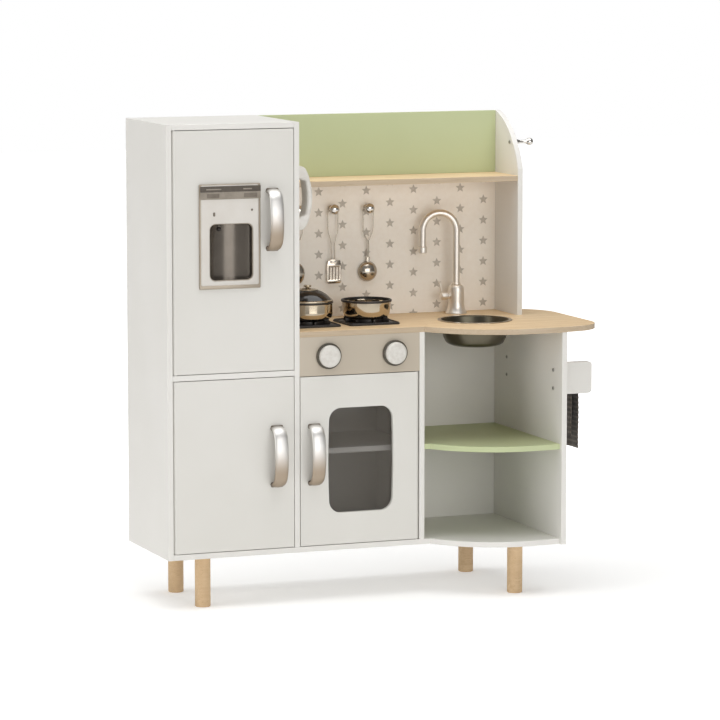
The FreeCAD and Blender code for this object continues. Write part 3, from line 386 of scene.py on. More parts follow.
# ---- shaping tools
class Form:
    """A piece being shaped, in millimetres.  Each method adds one closed shape in one finish."""

    def __init__(self):
        self.mesh = bmesh.new()
        self.finishes = []

    def settle(self, faces, finish):
        """Gives new faces their finish, and turns them outwards."""
        if finish not in self.finishes:
            self.finishes.append(finish)
        for face in faces:
            face.material_index = self.finishes.index(finish)
            face.smooth = True
        bmesh.ops.recalc_face_normals(self.mesh, faces=faces)

    def skin(self, rings, finish, around=False):
        """Faces from ring to ring.  The ends are capped, or meet if it goes around."""
        rows = [[self.mesh.verts.new(Vector(p) * MM) for p in ring] for ring in rings]
        pairs = list(zip(rows, rows[1:]))
        if around:
            pairs.append((rows[-1], rows[0]))
        faces = []
        count = len(rows[0])
        for near, far in pairs:
            for k in range(count):
                n = (k + 1) % count
                faces.append(self.mesh.faces.new((near[k], near[n], far[n], far[k])))
        if not around:
            faces.append(self.mesh.faces.new(rows[0][::-1]))
            faces.append(self.mesh.faces.new(rows[-1]))
        self.settle(faces, finish)

    def turned(self, profile, middle, axis, finish, around=False, count=72):
        """A lathe shape from (radius, height) points along an axis."""
        turn = Z.rotation_difference(Vector(axis))
        rings = []
        for r, h in profile:
            if r > 0:
                angles = [tau * k / count for k in range(count)]
                rings.append([Vector(middle) + turn @ Vector((r * cos(a), r * sin(a), h))
                              for a in angles])
        self.skin(rings, finish, around)

    def tube(self, path, radius, finish, count=16, domed=True):
        """A round bar along a path, with a domed end at each side."""
        path = [Vector(p) for p in path]
        stations = list(zip(path, [radius] * len(path)))
        if domed:
            lead = (path[0] - path[1]).normalized()
            tail = (path[-1] - path[-2]).normalized()
            bends = [(sin(a), cos(a)) for a in (0.45, 0.95, 1.35)]
            front = [(path[0] + lead * radius * s, radius * c) for s, c in reversed(bends)]
            back = [(path[-1] + tail * radius * s, radius * c) for s, c in bends]
            stations = front + stations + back
        side = None
        rings = []
        for k, (spot, r) in enumerate(stations):
            before, after = stations[max(k - 1, 0)][0], stations[min(k + 1, len(stations) - 1)][0]
            run = (after - before).normalized()
            if side is None:
                side = run.orthogonal().normalized()
            side = (side - run * side.dot(run)).normalized()
            other = run.cross(side)
            angles = [tau * n / count for n in range(count)]
            rings.append([spot + side * (r * cos(a)) + other * (r * sin(a)) for a in angles])
        self.skin(rings, finish)

    def plate(self, outlines, place, thick, edge, finish, steps=3):
        """A flat piece: the first outline outside, the others holes, edges rounded.

        place carries the outlines' plane, and the thickness from 0 up, into the frame.
        """
        curve = bpy.data.curves.new("outline", "CURVE")
        curve.dimensions = "2D"
        curve.fill_mode = "BOTH"
        curve.extrude = (thick / 2 - edge) * MM
        curve.bevel_depth = edge * MM
        curve.bevel_resolution = steps
        curve.offset = -edge * MM
        for points in outlines:
            spline = curve.splines.new("POLY")
            spline.points.add(len(points) - 1)
            for point, (a, b) in zip(spline.points, points):
                point.co = (a * MM, b * MM, 0, 1)
            spline.use_cyclic_u = True
        holder = bpy.data.objects.new("outline", curve)
        bpy.context.scene.collection.objects.link(holder)
        depsgraph = bpy.context.evaluated_depsgraph_get()
        flat = bpy.data.meshes.new_from_object(holder.evaluated_get(depsgraph))
        place = place @ Matrix.Translation((0, 0, thick / 2))
        place.translation *= MM
        flat.transform(place)
        self.take(flat, finish)
        bpy.data.objects.remove(holder)

    def pad(self, width, height, corner, spot, thick, edge, finish, steps=3, right=X):
        """A plate with round corners, facing the front, or a side if right is Y."""
        self.plate([rounded(width, height, corner)], facing(spot, right, Z), thick, edge, finish, steps)

    def take(self, mesh, finish):
        """Adds a finished mesh, in metres, merged and facing outwards."""
        had_verts, had_faces = len(self.mesh.verts), len(self.mesh.faces)
        self.mesh.from_mesh(mesh)
        self.mesh.verts.ensure_lookup_table()
        bmesh.ops.remove_doubles(self.mesh, verts=self.mesh.verts[had_verts:], dist=MERGE)
        self.mesh.faces.ensure_lookup_table()
        self.settle(self.mesh.faces[had_faces:], finish)
        bpy.data.meshes.remove(mesh)

    def done(self, name, sharp=32):
        """The finished object, crisp where faces meet at more than sharp degrees."""
        mesh = bpy.data.meshes.new(name)
        self.mesh.to_mesh(mesh)
        self.mesh.free()
        for finish in self.finishes:
            mesh.materials.append(finish)
        mesh.set_sharp_from_angle(angle=radians(sharp))
        piece = bpy.data.objects.new(name, mesh)
        bpy.context.scene.collection.objects.link(piece)
        return piece


def fit(piece, body, slot, *nodes):
    """Hangs a finished piece on its body, in place of the CAD parts it stands for."""
    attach(piece, body)
    if nodes:
        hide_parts(*nodes)
    return piece


def facing(origin, right, up):
    """Places a drawing plane: its right and up directions, and its origin."""
    out = Vector(right).cross(Vector(up))
    place = Matrix((right, up, out)).transposed().to_4x4()
    place.translation = Vector(origin)
    return place


def rounded(width, height, corner, middle=(0, 0), steps=8):
    """The outline of a rectangle with round corners."""
    points = []
    for quarter, (sx, sy) in enumerate(((1, 1), (-1, 1), (-1, -1), (1, -1))):
        cx = middle[0] + sx * (width / 2 - corner)
        cy = middle[1] + sy * (height / 2 - corner)
        for k in range(steps + 1):
            a = pi / 2 * (quarter + k / steps)
            points.append((cx + corner * cos(a), cy + corner * sin(a)))
    return points


def arc(a, via, b, count):
    """Points of a circular arc from a through via to b, in two dimensions."""
    (ax, ay), (bx, by), (cx, cy) = a, via, b
    d = 2 * (ax * (by - cy) + bx * (cy - ay) + cx * (ay - by))
    sa, sb, sc = ax * ax + ay * ay, bx * bx + by * by, cx * cx + cy * cy
    mx = (sa * (by - cy) + sb * (cy - ay) + sc * (ay - by)) / d
    my = (sa * (cx - bx) + sb * (ax - cx) + sc * (bx - ax)) / d
    r = hypot(ax - mx, ay - my)
    start = atan2(ay - my, ax - mx)
    through = (atan2(by - my, bx - mx) - start) % tau
    sweep = (atan2(cy - my, cx - mx) - start) % tau
    if through > sweep:
        sweep -= tau
    angles = [start + sweep * k / count for k in range(count + 1)]
    return [(mx + r * cos(t), my + r * sin(t)) for t in angles]


def eased(points, radius, steps=4):
    """A profile with its inner corners rounded."""
    made = [Vector(points[0])]
    for before, here, after in zip(points, points[1:], points[2:]):
        before, here, after = Vector(before), Vector(here), Vector(after)
        cut = min(radius, (before - here).length * 0.49, (after - here).length * 0.49)
        start = here + (before - here).normalized() * cut
        end = here + (after - here).normalized() * cut
        for k in range(steps + 1):
            t = k / steps
            made.append(start * (1 - t) ** 2 + here * (2 * t * (1 - t)) + end * t * t)
    return [tuple(p) for p in made] + [tuple(points[-1])]


def smooth(share):
    """Carries 0..1 to itself with soft ends, and stops there."""
    share = min(1.0, max(0.0, share))
    return share * share * (3 - 2 * share)


def box(node):
    """The low corner, high corner and middle of a CAD part, in millimetres."""
    low, high = (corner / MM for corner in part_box(node))
    return low, high, (low + high) / 2


# ---- repeating parts
class Repeat(Bench):
    """A tree that repeats a part, with its sizes as named inputs."""

    def __init__(self, name, **sizes):
        super().__init__(bpy.data.node_groups.new(name, "GeometryNodeTree"))
        face = self.tree.interface
        face.new_socket("Geometry", in_out="INPUT", socket_type="NodeSocketGeometry")
        face.new_socket("Geometry", in_out="OUTPUT", socket_type="NodeSocketGeometry")
        self.sockets = {}
        for key, kind in sizes.items():
            self.sockets[key] = face.new_socket(key, in_out="INPUT",
                                                socket_type="NodeSocket" + kind).identifier
        self.entry = self.tree.nodes.new("NodeGroupInput")

    def size(self, key):
        return Wire(self, self.entry.outputs[key])

    def close(self, geometry):
        """Makes the copies real, gives them their finish and ends the tree."""
        real = self.node("GeometryNodeRealizeInstances", None, {0: geometry})
        painted = self.node("GeometryNodeSetMaterial", None,
                            {"Geometry": real, "Material": self.size("Finish")})
        self.plug(self.tree.nodes.new("NodeGroupOutput").inputs[0], painted)
        return self

    def make(self, points, bevel=0.0, **values):
        """Runs the tree on points, given in millimetres, and returns the plain mesh."""
        mesh = bpy.data.meshes.new("points")
        mesh.from_pydata([tuple(Vector(p) * MM) for p in points], [], [])
        holder = bpy.data.objects.new("points", mesh)
        bpy.context.scene.collection.objects.link(holder)
        step = holder.modifiers.new("repeat", "NODES")
        step.node_group = self.tree
        for key, value in values.items():
            step[self.sockets[key]] = value
        if bevel:
            ease = holder.modifiers.new("ease", "BEVEL")
            ease.width, ease.segments, ease.limit_method = bevel * MM, 2, "ANGLE"
        depsgraph = bpy.context.evaluated_depsgraph_get()
        made = bpy.data.meshes.new_from_object(holder.evaluated_get(depsgraph))
        bpy.data.objects.remove(holder)
        return made


def spokes_tree():
    """Bars set out like spokes about each point."""
    r = Repeat("Spokes", Count="Int", Inner="Float", Outer="Float", Width="Float", Height="Float",
               Turn="Float", Finish="Material")
    inner, outer = r.size("Inner"), r.size("Outer")
    ring = r.node("GeometryNodeMeshCircle", None,
                  {"Vertices": r.size("Count"), "Radius": (inner + outer) * 0.5})
    size = r.node("ShaderNodeCombineXYZ", None,
                  {0: outer - inner, 1: r.size("Width"), 2: r.size("Height")})
    bar = r.node("GeometryNodeMeshCube", None, {"Size": size})
    way = r.node("FunctionNodeAlignRotationToVector", {"axis": "X", "pivot_axis": "Z"},
                 {"Vector": r.node("GeometryNodeInputPosition")})
    wheel = r.node("GeometryNodeInstanceOnPoints", None,
                   {"Points": ring, "Instance": bar, "Rotation": way})
    turn = r.node("ShaderNodeCombineXYZ", None, {2: r.size("Turn")})
    wheel = r.node("GeometryNodeTransform", None, {"Geometry": wheel, "Rotation": turn})
    spots = {"Points": r.size("Geometry"), "Instance": wheel}
    return r.close(r.node("GeometryNodeInstanceOnPoints", None, spots))


def set_out_tree():
    """One made part set at each point."""
    r = Repeat("Set out", Part="Object", Finish="Material")
    part = r.node("GeometryNodeObjectInfo", None, {"Object": r.size("Part")}, "Geometry")
    spots = {"Points": r.size("Geometry"), "Instance": part}
    return r.close(r.node("GeometryNodeInstanceOnPoints", None, spots))


SPOKES = spokes_tree()
SET_OUT = set_out_tree()


def set_out(form, part, points, finish):
    """Adds the part's shape at every point, then does away with the pattern part."""
    form.take(SET_OUT.make(points, Part=part, Finish=finish), finish)
    bpy.data.objects.remove(part)


def spokes(spot, count, inner, outer, width, height, turn=0.0, bevel=0.0):
    """Black bars set out like spokes about a spot, as a mesh."""
    return SPOKES.make([spot], bevel, Count=count, Inner=inner * MM, Outer=outer * MM,
                       Width=width * MM, Height=height * MM, Turn=turn, Finish=BLACK)


# ---- handles
def strap_handle(node, body):
    """An arched strap: one bent bar, broad and slightly crowned, with two feet."""
    low, high, mid = box(node)
    x, z = mid.x, mid.z
    foot, strap, width = 14, 8, high.x - low.x

    def arch(half, depth):
        knee, shoulder = depth * 0.86, half * 0.62
        side = arc((0, -half), (depth * 0.55, -half * 0.9), (knee, -shoulder), 12)
        top = arc((knee, -shoulder), (depth, 0), (knee, shoulder), 24)
        return side + top[1:] + [(a, -b) for a, b in reversed(side)][1:]

    outer = arch((high.z - low.z) / 2, high.y - low.y)
    inner = arch((high.z - low.z) / 2 - foot, high.y - low.y - strap)
    under = [-pi * k / 10 for k in range(11)]
    upper = [pi * k / 20 for k in range(1, 20)]
    rings = []
    for (oy, oz), (iy, iz) in zip(outer, inner):
        out, back = Vector((x, high.y - oy, z + oz)), Vector((x, high.y - iy, z + iz))
        reach = (out - back).length
        way = (out - back).normalized()
        middle = (out + back) / 2
        flanks = [(width / 2 * cos(t), 0.30 * reach * sin(t)) for t in under]
        crown = [(-width / 2 * cos(t), 0.5 * reach * sin(t) ** 0.8) for t in upper]
        rings.append([middle + X * a + way * (b - 0.1 * reach) for a, b in flanks + crown])
    form = Form()
    form.skin(rings, SATIN)
    for side in (-1, 1):
        seat = Vector((x, high.y, z + side * ((high.z - low.z) / 2 - foot / 2)))
        form.pad(width - 2, foot - 3, 3, seat, 1.2, 0.4, SATIN)
    piece = form.done(node + "_strap")
    # Painted reflection: a warm tint that grows towards the handle's lower end.
    low_reflection = piece.data.attributes.new("low_end", "FLOAT", "POINT")
    # Painted shade: 1 at the door face, fading out 18 mm in front of it.
    near = piece.data.attributes.new("foot", "FLOAT", "POINT")
    for k, vertex in enumerate(piece.data.vertices):
        spot = vertex.co / MM
        low_reflection.data[k].value = smooth(0.42 + (z - spot.z) / (high.z - low.z) * 2.2)
        near.data[k].value = smooth(1 - (high.y - spot.y) / 18)
    fit(piece, body, "satin_handle", node)


# ---- dispenser
def dispenser():
    """A silver frame round a dark niche, with a label strip and two small buttons."""
    low, high, mid = box("dispenser_frame")
    niche_low, niche_high, niche = box("dispenser_recess")
    wall = 2
    width, height = high.x - low.x, high.z - low.z
    hole = (niche_high.x - niche_low.x - 2 * wall, niche_high.z - niche_low.z - 2 * wall)
    offset = (niche.x - mid.x, niche.z - mid.z)
    place = facing((mid.x, high.y, mid.z), X, Z)
    form = Form()
    outer = rounded(width, height, 2.5)
    # The outer frame is in the painted-shade copy of the silver.
    form.plate([outer, rounded(*hole, 12, offset)], place, 5, 1.6, BEVEL)
    lift = place @ Matrix.Translation((0, 0, 3.5))
    face = rounded(width - 8, height - 10, 4, (-1, 3))
    form.plate([face, rounded(hole[0] + 3, hole[1] + 3, 13, offset)], lift, 3.5, 1.4, SILVER)
    fit(form.done("dispenser_bezel"), "upper_door", "silver_plastic", "dispenser_frame")

    strip_low, strip_high, strip = box("dispenser_display")
    form = Form()
    wide = strip_high.x - strip_low.x + 6
    dark, pale, seam = 12, 16, 0.1
    seat, top = strip_high.y, strip_high.z
    form.pad(wide, dark, 1, (strip.x, seat, top - dark / 2), 2.4, 0.4, BAND)
    form.pad(wide, pale, 1, (strip.x, seat, top - dark - seam - pale / 2), 1.8, 0.4, STRIP)
    for share, long in ((-0.28, 34), (0.28, 20)):
        spot = (strip.x + share * wide, seat - 2.2, top - dark * 0.55)
        form.pad(long, 2.6, 1.2, spot, 0.5, 0.1, STRIP, 1)
    for share, long in ((-0.29, 28), (0.33, 30)):
        spot = (strip.x + share * wide, seat - 1.5, top - dark - pale * 0.52)
        form.pad(long, 9, 1, spot, 0.6, 0.1, MARK, 1)
    fit(form.done("dispenser_label"), "upper_door", "black_plastic", "dispenser_display")

    form = Form()
    nozzle_low, nozzle_high, spot = box("dispenser_nozzle")
    tall, radius = nozzle_high.z - nozzle_low.z, (nozzle_high.x - nozzle_low.x) / 2
    form.turned([(2.6, -tall * 0.2), (2.6, tall / 2)], spot, Z, RECESS, count=32)
    bead = [pi * k / 14 for k in range(1, 14)]
    ball = [(0.78 * radius * sin(t), -0.78 * radius * cos(t)) for t in bead]
    form.turned(ball, spot - Z * tall * 0.1, Z, BLACK, count=40)
    form.turned(eased([(radius, tall / 2 - 2), (radius, tall / 2)], 0.5), spot, Z, BLACK, count=40)
    fit(form.done("dispenser_spout"), "upper_door", "black_plastic", "dispenser_nozzle")

    form = Form()
    for across, down, long in ((0.235, 0.285, 9), (0.85, 0.25, 5)):
        spot = (low.x + across * width, low.y, high.z - down * height)
        form.pad(4.5, long, 2.2, spot, 1.2, 0.5, MARK)
    fit(form.done("dispenser_buttons"), "upper_door", "dark_plastic")


# ---- knobs
def dial(node, body):
    """A dark skirt and a pale cap with a soft edge, on a shaft with a snap head."""
    low, high, mid = box(node)
    spot = Vector((mid.x, high.y, mid.z))
    front, panel = high.y - low.y, high.y - box("control_panel")[0].y
    rim = (high.x - low.x) / 2
    cap = rim - 4.4
    form = Form()
    skirt = [(cap - 4, panel + 0.3), (rim - 0.6, panel + 0.3), (rim, panel + 2),
             (rim - 0.3, panel + 6.5), (cap - 2, panel + 8)]
    form.turned(eased(skirt, 1.2), spot, -Y, SKIRT, count=96)
    body_profile = [(cap, panel + 7), (cap, front - 3), (cap - 3, front - 0.3),
                    (cap * 0.6, front), (0.5, front - 0.5)]
    form.turned([(cap - 3, panel + 6.8)] + eased(body_profile, 2.4, 6), spot, -Y, KNOB, count=96)
    form.turned([(4, 4), (4, panel + 3)], spot, -Y, STEEL, count=32)
    snap = [(3, 0), (5.5, 1.6), (5.5, 3.8), (4, 4.2)]
    form.turned(eased(snap, 0.6), spot, -Y, STEEL, count=32)
    fit(form.done(node + "_turned"), body, "knob_plastic", node)


# ---- hob
def burner(node):
    """A cast plate with a raised rim, a ring, a capped burner and eight support bars."""
    low, high, mid = box(node)
    width, depth, tall = high.x - low.x, high.y - low.y, high.z - low.z
    seat = 3.8
    place = facing((mid.x, mid.y, low.z), X, Y)
    form = Form()
    form.plate([rounded(width, depth, 8)], place, 4, 1.4, BLACK)
    rim = place @ Matrix.Translation((0, 0, 3.4))
    edge = [rounded(width - 4, depth - 4, 7), rounded(width - 10, depth - 10, 5)]
    form.plate(edge, rim, 2.2, 0.8, BLACK)
    ring = eased([(33.6, seat), (38.4, seat), (38, tall - 0.4), (34, tall - 0.4)], 1)
    form.turned(ring, (mid.x, mid.y, low.z), Z, BLACK, True)
    cap = eased([(16, seat), (15.5, 6), (13, 6.4), (12.6, 8.4), (1, 8.8)], 1)
    form.turned(cap, (mid.x, mid.y, low.z), Z, BLACK)
    spot, bar_height = (mid.x, mid.y, low.z + seat + (tall - seat) / 2), tall - seat
    form.take(spokes(spot, 4, 16, 54, 4.6, bar_height, pi / 4, 0.9), BLACK)
    form.take(spokes(spot, 4, 36, 50, 4.6, bar_height, 0.0, 0.9), BLACK)
    fit(form.done(node + "_cast"), "carcass", "black_plastic", node)


def pot():
    """A spun steel pot with a rolled dark rim."""
    low, high, mid = box("pot")
    r, tall, wall = (high.x - low.x) / 2, high.z - low.z, 2.2
    spot = (mid.x, mid.y, low.z)
    form = Form()
    shell = [(2, 0), (r * 0.62, 0), (r * 0.93, 4), (r - 0.4, 15), (r - 1.2, tall - 4.5),
             (r, tall - 3.2), (r, tall - 0.3), (r - wall, tall - 0.3), (r - wall - 0.8, 16),
             (r * 0.9, 6), (r * 0.62, 2.2), (2, 2.2)]
    form.turned(eased(shell, 4, 6), spot, Z, STEEL_PAINTED_REFLECTION, count=120)
    band = eased([(r - 0.9, tall - 4.2), (r + 0.3, tall - 3.6), (r + 0.3, tall - 0.2),
                  (r - 0.9, tall)], 0.4)
    form.turned(band, spot, Z, BLACK, True, 120)
    fit(form.done("pot_spun"), "pot_body", "pot_steel", "pot")


def pot_lid():
    """A dark dome in a steel band, with a polished crown and a small turned knob: the dark dome and
    bright crown are a painted reflection of a polished steel lid.
    """
    low, high, mid = box("pot_lid")
    r, tall = (high.x - low.x) / 2, high.z - low.z
    rim, knob = 2, 8
    dome = tall - knob - rim
    spot = (mid.x, mid.y, low.z + rim)
    ball = (r * r + dome * dome) / (2 * dome)
    spread = asin(min(1.0, r / ball))
    form = Form()
    outside = [(ball * sin(spread * k / 14), dome - ball + ball * cos(spread * k / 14))
               for k in range(14, 0, -1)]
    inside = [(a * 0.955, max(b - 1.6, -0.4)) for a, b in reversed(outside)]
    # Painted reflection: the dark dome.
    form.turned(inside + [(a, max(b, 0.4)) for a, b in outside], spot, Z, DARK_REFLECTION_DOME, count=120)
    # The polished crown over the dark dome gives the bright top of the painted reflection.
    cover = [(a, b) for a, b in outside if a < 0.42 * r]
    under = [(a, b - 0.4) for a, b in reversed(cover)]
    form.turned(under + [(a * 1.02, b + 0.7) for a, b in cover], spot, Z, STEEL_PAINTED_REFLECTION, count=120)
    band = [(r - 4, -0.2), (r, -0.2), (r + 0.2, 2.4), (r - 2.6, 4.0)]
    form.turned(eased(band, 0.8), spot, Z, STEEL_PAINTED_REFLECTION, True, 120)
    skirt = [(r - 4.6, -rim), (r - 3.0, -rim), (r - 3.0, 1), (r - 4.6, 1)]
    form.turned(skirt, spot, Z, STEEL_PAINTED_REFLECTION, True, 120)
    grip = [(3.6, 0), (3.4, 2), (8, 3.4), (9, 5.2), (8, 7.2), (4, knob), (0.4, knob)]
    form.turned(eased(grip, 1.2), (mid.x, mid.y, low.z + tall - knob - 0.5), Z, STEEL_PAINTED_REFLECTION, count=48)
    fit(form.done("pot_lid_domed"), "lid", "pot_steel", "pot_lid")


def pan():
    """A low steel pan with a dark lining and a rolled dark rim."""
    low, high, mid = box("pan")
    r, tall = (high.x - low.x) / 2, high.z - low.z
    spot = (mid.x, mid.y, low.z)
    form = Form()
    outer = [(2, 0), (42, 0), (49, 3), (52, 12), (53.6, 25), (54.2, tall - 4)]
    inner = [(52.4, tall - 4), (51.8, 25), (50.2, 13), (47.4, 5), (41, 2.2), (2, 2.2)]
    form.turned(eased(outer + inner, 5, 6), spot, Z, STEEL_PAINTED_REFLECTION, count=120)
    lining = [(2, 3.1)] + [(a - 0.9, b + 0.8) for a, b in reversed(inner[1:-1])]
    lining += [(a - 0.2, b + 0.3) for a, b in inner[1:-1]] + [(2, 2.5)]
    form.turned(lining, spot, Z, BLACK, count=120)
    rim = [(51.4, tall - 5.5), (r - 0.6, tall - 5.0), (r, tall - 3.5), (r, tall - 0.8),
           (r - 1, tall), (r - 4.4, tall), (51.0, tall - 1.4)]
    form.turned(eased(rim, 0.6), spot, Z, BLACK, True, 120)
    fit(form.done("pan_spun"), "pan_body", "pot_steel", "pan")


# ---- sink and tap
def sink():
    """A spun steel bowl with a rolled flange and a slotted strainer.  The bowl's steel is darkened as
    painted shade, and the strainer's slots are black bars, painted shade.
    """
    low, high, mid = box("sink_bowl")
    top = high.z
    flange = (high.x - low.x) / 2
    r, deep, wall = flange - 6, top - low.z, 1.4
    spot = (mid.x, mid.y, low.z)
    form = Form()
    shell = [(3, 0), (50, 0), (64, 6), (r - 7, 20), (r - 0.6, deep - 2.5), (r, deep - 1.5),
             (flange - 0.6, deep - 1.5), (flange, deep - 0.8), (flange - 1.5, deep - 0.1),
             (r - 1, deep), (r - wall - 1.4, deep - 2), (r - 7 - wall, 21), (62, 8),
             (49, wall), (3, wall)]
    form.turned(eased(shell, 5, 6), spot, Z, BASIN_PAINTED_SHADE, count=128)
    roll = [(r - 2.2, deep - 1.6), (flange, deep - 1.6), (flange, deep - 0.6), (flange - 1.4, deep),
            (r - 2.2, deep)]
    form.turned(eased(roll, 0.4), spot, Z, STEEL_PAINTED_REFLECTION, True, 128)
    drain = eased([(13.5, wall - 0.3), (13.5, wall + 0.9), (11, wall + 1.2), (9.5, wall + 0.5),
                   (1, wall + 0.5)], 0.5)
    form.turned(drain, spot, Z, STEEL, count=64)
    # Painted shade: black bars stand for the shadowed slots in the strainer.
    form.take(spokes((mid.x, mid.y, low.z + wall + 0.6), 6, 3, 8.6, 1.7, 0.5), BLACK)
    fit(form.done("sink_spun"), "bowl", "pot_steel", "sink_bowl")


def tap():
    """A bell-shaped body, a swan-neck spout with its outlet, and a side lever."""
    low, high, mid = box("tap_base")
    top = box("worktop")[1].z
    tall = high.z - top
    spot = Vector((mid.x, mid.y, top))
    form = Form()
    stem = low.z - top
    body = [(7.8, stem), (7.8, 0), (24, 0), (24, 2.2), (22, 6), (19.4, 13),
            (18, 24), (17.4, tall - 10), (15.8, tall - 3.5), (10.4, tall), (8, tall)]
    form.turned(eased(body, 3.5, 6), spot, Z, NICKEL, count=96)
    fit(form.done("tap_body"), "carcass", "chrome", "tap_base")

    spout_low, spout_high, _ = box("tap_spout")
    pipe, outlet = 7.9, 10
    far = Vector((spout_low.x + outlet, spout_high.y - outlet, 0))
    near = Vector((mid.x, mid.y, 0))
    radius = (far - near).length / 2
    arc_z = spout_high.z - pipe - radius
    drop, tip_length = arc_z - 36, 15
    way = (far - near).normalized()
    path = [near + Z * (top + tall - 12), near + Z * (arc_z - 20), near + Z * arc_z]
    for k in range(1, 33):
        a = pi * k / 32
        path.append(near + way * radius * (1 - cos(a)) + Z * (arc_z + radius * sin(a)))
    path += [far + Z * (drop + 8), far + Z * drop]
    form = Form()
    form.tube(path, pipe, NICKEL, 40, False)
    end = Vector((far.x, far.y, drop - tip_length))
    collar = [(5.6, 5), (5.6, 0.4), (8, 0), (outlet, 1), (outlet, 14), (8.1, 15.5), (5.6, 15.5)]
    form.turned(eased(collar, 0.8) + [(0.5, 15.5), (0.5, 5)], end, Z, NICKEL, True, 48)
    seat = near + Z * (top + tall)
    form.turned(eased([(8, 0.2), (10, 0.3), (9.6, 3), (8, 4)], 0.8), seat, Z, NICKEL, True, 64)
    fit(form.done("tap_swan_neck"), "spout", "chrome", "tap_spout")

    lever_low, lever_high, _ = box("tap_lever")
    rod = 2.2
    stub = 6.7
    body_radius, reach, sunk = 16.9, 20.9, 2
    z = lever_low.z + stub
    face = mid.x - body_radius
    start = face - reach
    form = Form()
    profile = [(1, 0), (6.6, 0), (8.8, 1.8), (8.8, 15), (6.6, 18), (6.6, reach + sunk)]
    form.turned(eased(profile, 1.2), (start, mid.y, z), X, NICKEL, count=48)
    form.turned([(4, reach), (4, lever_high.x - start)], (start, mid.y, z), X, NICKEL, count=32)
    foot = Vector((start + 4.2, mid.y, z))
    tip = Vector((lever_low.x + rod, mid.y, lever_high.z - rod))
    form.tube([foot, foot.lerp(tip, 0.5), tip], rod, NICKEL, 20)
    form.turned([(0.5, -3.2), (2.4, -2.2), (3.2, 0), (2.4, 1.8), (0.5, 2.2)], tip, Z, NICKEL, count=24)
    fit(form.done("tap_side_lever"), "lever", "chrome", "tap_lever")


# ---- utensils
WIRE_R = 1.0  # radius of the utensils' wire


def hooks():
    """Three turned wall hooks, made once and set out along the backsplash."""
    low, high, mid = box("utensil_hooks")
    head = (high.z - low.z) / 2
    reach = high.y - low.y
    neck = [(7.8, 0), (8, 1.4), (5, 3.4), (3.5, 6), (3.5, reach - 11),
            (7, reach - 10), (head - 0.8, reach - 9)]
    dome = [(head * cos(t), reach - 8 + 8 * sin(t)) for t in [pi / 2 * k / 12 for k in range(12)]]
    form = Form()
    form.turned(eased(neck, 2, 5) + dome, (0, 0, 0), -Y, CHROME, count=64)
    pattern = form.done("hook_pattern")
    form = Form()
    places = [(box(n)[2].x, high.y, mid.z) for n in ("serving_spoon", "turner", "ladle")]
    set_out(form, pattern, places, CHROME)
    fit(form.done("utensil_hooks_turned"), "carcass", "chrome", "utensil_hooks")


def wire_loop(form, x, y, top, half, neck_half, loop, stem):
    """A wire bent double: over the hook, in to the neck, then down as a stem."""
    bend = top - WIRE_R - half
    neck, foot = bend - loop, bend - loop - stem
    left = [Vector((x - neck_half, y, foot)), Vector((x - neck_half, y, neck - 4)),
            Vector((x - neck_half * 1.15, y, neck)), Vector((x - half * 0.6, y, neck + 9)),
            Vector((x - half * 0.93, y, neck + 20)), Vector((x - half, y, neck + 30))]
    over = [Vector((x - half * cos(a), y, bend + half * sin(a)))
            for a in [pi * k / 20 for k in range(21)]]
    right = [Vector((2 * x - p.x, y, p.z)) for p in reversed(left)]
    form.tube(left + over + right, WIRE_R, WIRES, 12)
    return foot


def turner():
    """A slotted turner: thin blade with four slots, riveted to its wire."""
    low, high, mid = box("turner")
    form = Form()
    foot = wire_loop(form, mid.x, mid.y, high.z, 12, 4.4, 66, 45)
    width, top, shift = 33, foot + 3, 3
    tall = top - low.z
    corners = [p for p in rounded(width, tall, 5) if p[1] < 0]
    outline = [(-width * 0.42, tall * 0.5), (-width * 0.5, tall * 0.30)] + corners
    outline += [(width * 0.5, tall * 0.30), (width * 0.42, tall * 0.5)]
    slots = [rounded(3.0, 28, 1.4, (width * (k - 1.5) / 4.6, -3), 4) for k in range(4)]
    place = facing((mid.x + shift, mid.y + 0.8, (top + low.z) / 2), X, Z)
    form.plate([outline] + slots, place, 1.5, 0.3, WIRES, 1)
    form.pad(14, 9, 3, (mid.x, mid.y - 0.6, foot + 1), 1.2, 0.4, WIRES)
    for side in (-1, 1):
        form.turned(eased([(2, 0), (2, 0.8), (0.3, 1.3)], 0.4),
                    (mid.x + side * 4.4, mid.y - 1.6, foot + 1), -Y, STEEL, count=20)
    fit(form.done("turner_slotted"), "turner_body", "chrome", "turner")


def dished(form, spot, half_x, half_z, deep, wall, finish):
    """A pressed bowl that hangs with its round back to the front."""
    around = 56

    def shell(grow):
        rows = []
        for k in range(12):
            a = pi / 2 * (1 - k / 11.5)
            y = spot.y - (deep + grow) * cos(a) + deep / 2
            rows.append(oval((half_x + grow) * sin(a), (half_z + grow) * sin(a), y))
        return rows

    def oval(wide, high, y, count=around):
        turns = [tau * n / around for n in range(count)]
        return [Vector((spot.x + wide * cos(t), y, spot.z + high * sin(t))) for t in turns]

    outer, inner = shell(0), shell(-wall)
    form.skin(inner[::-1] + outer, finish)
    rim = oval(half_x - wall / 2, half_z - wall / 2, spot.y + deep / 2, around + 1)
    form.tube(rim, wall * 0.8, finish, 8, False)


def ladle_and_spoon():
    """Two pressed bowls, each on its bent wire."""
    bowls = (("ladle", "ladle_pressed", "ladle_body", 22.6, 22.6, 14),
             ("serving_spoon", "spoon_pressed", "spoon_body", 16.5, 23, 6))
    for node, name, body, half_x, half_z, deep in bowls:
        low, high, mid = box(node)
        form = Form()
        y = box("turner")[0].y + 1.3
        foot = wire_loop(form, mid.x, y, high.z, 12, 1.35, 66, 45)
        bowl = Vector((mid.x + 1, mid.y, low.z + half_z - 3))
        dished(form, bowl, half_x, half_z, deep, 1.2, WIRES)
        form.pad(8, 12, 3, (mid.x, y - 0.2, foot + 2), 1.6, 0.5, WIRES)
        fit(form.done(name), body, "chrome", node)


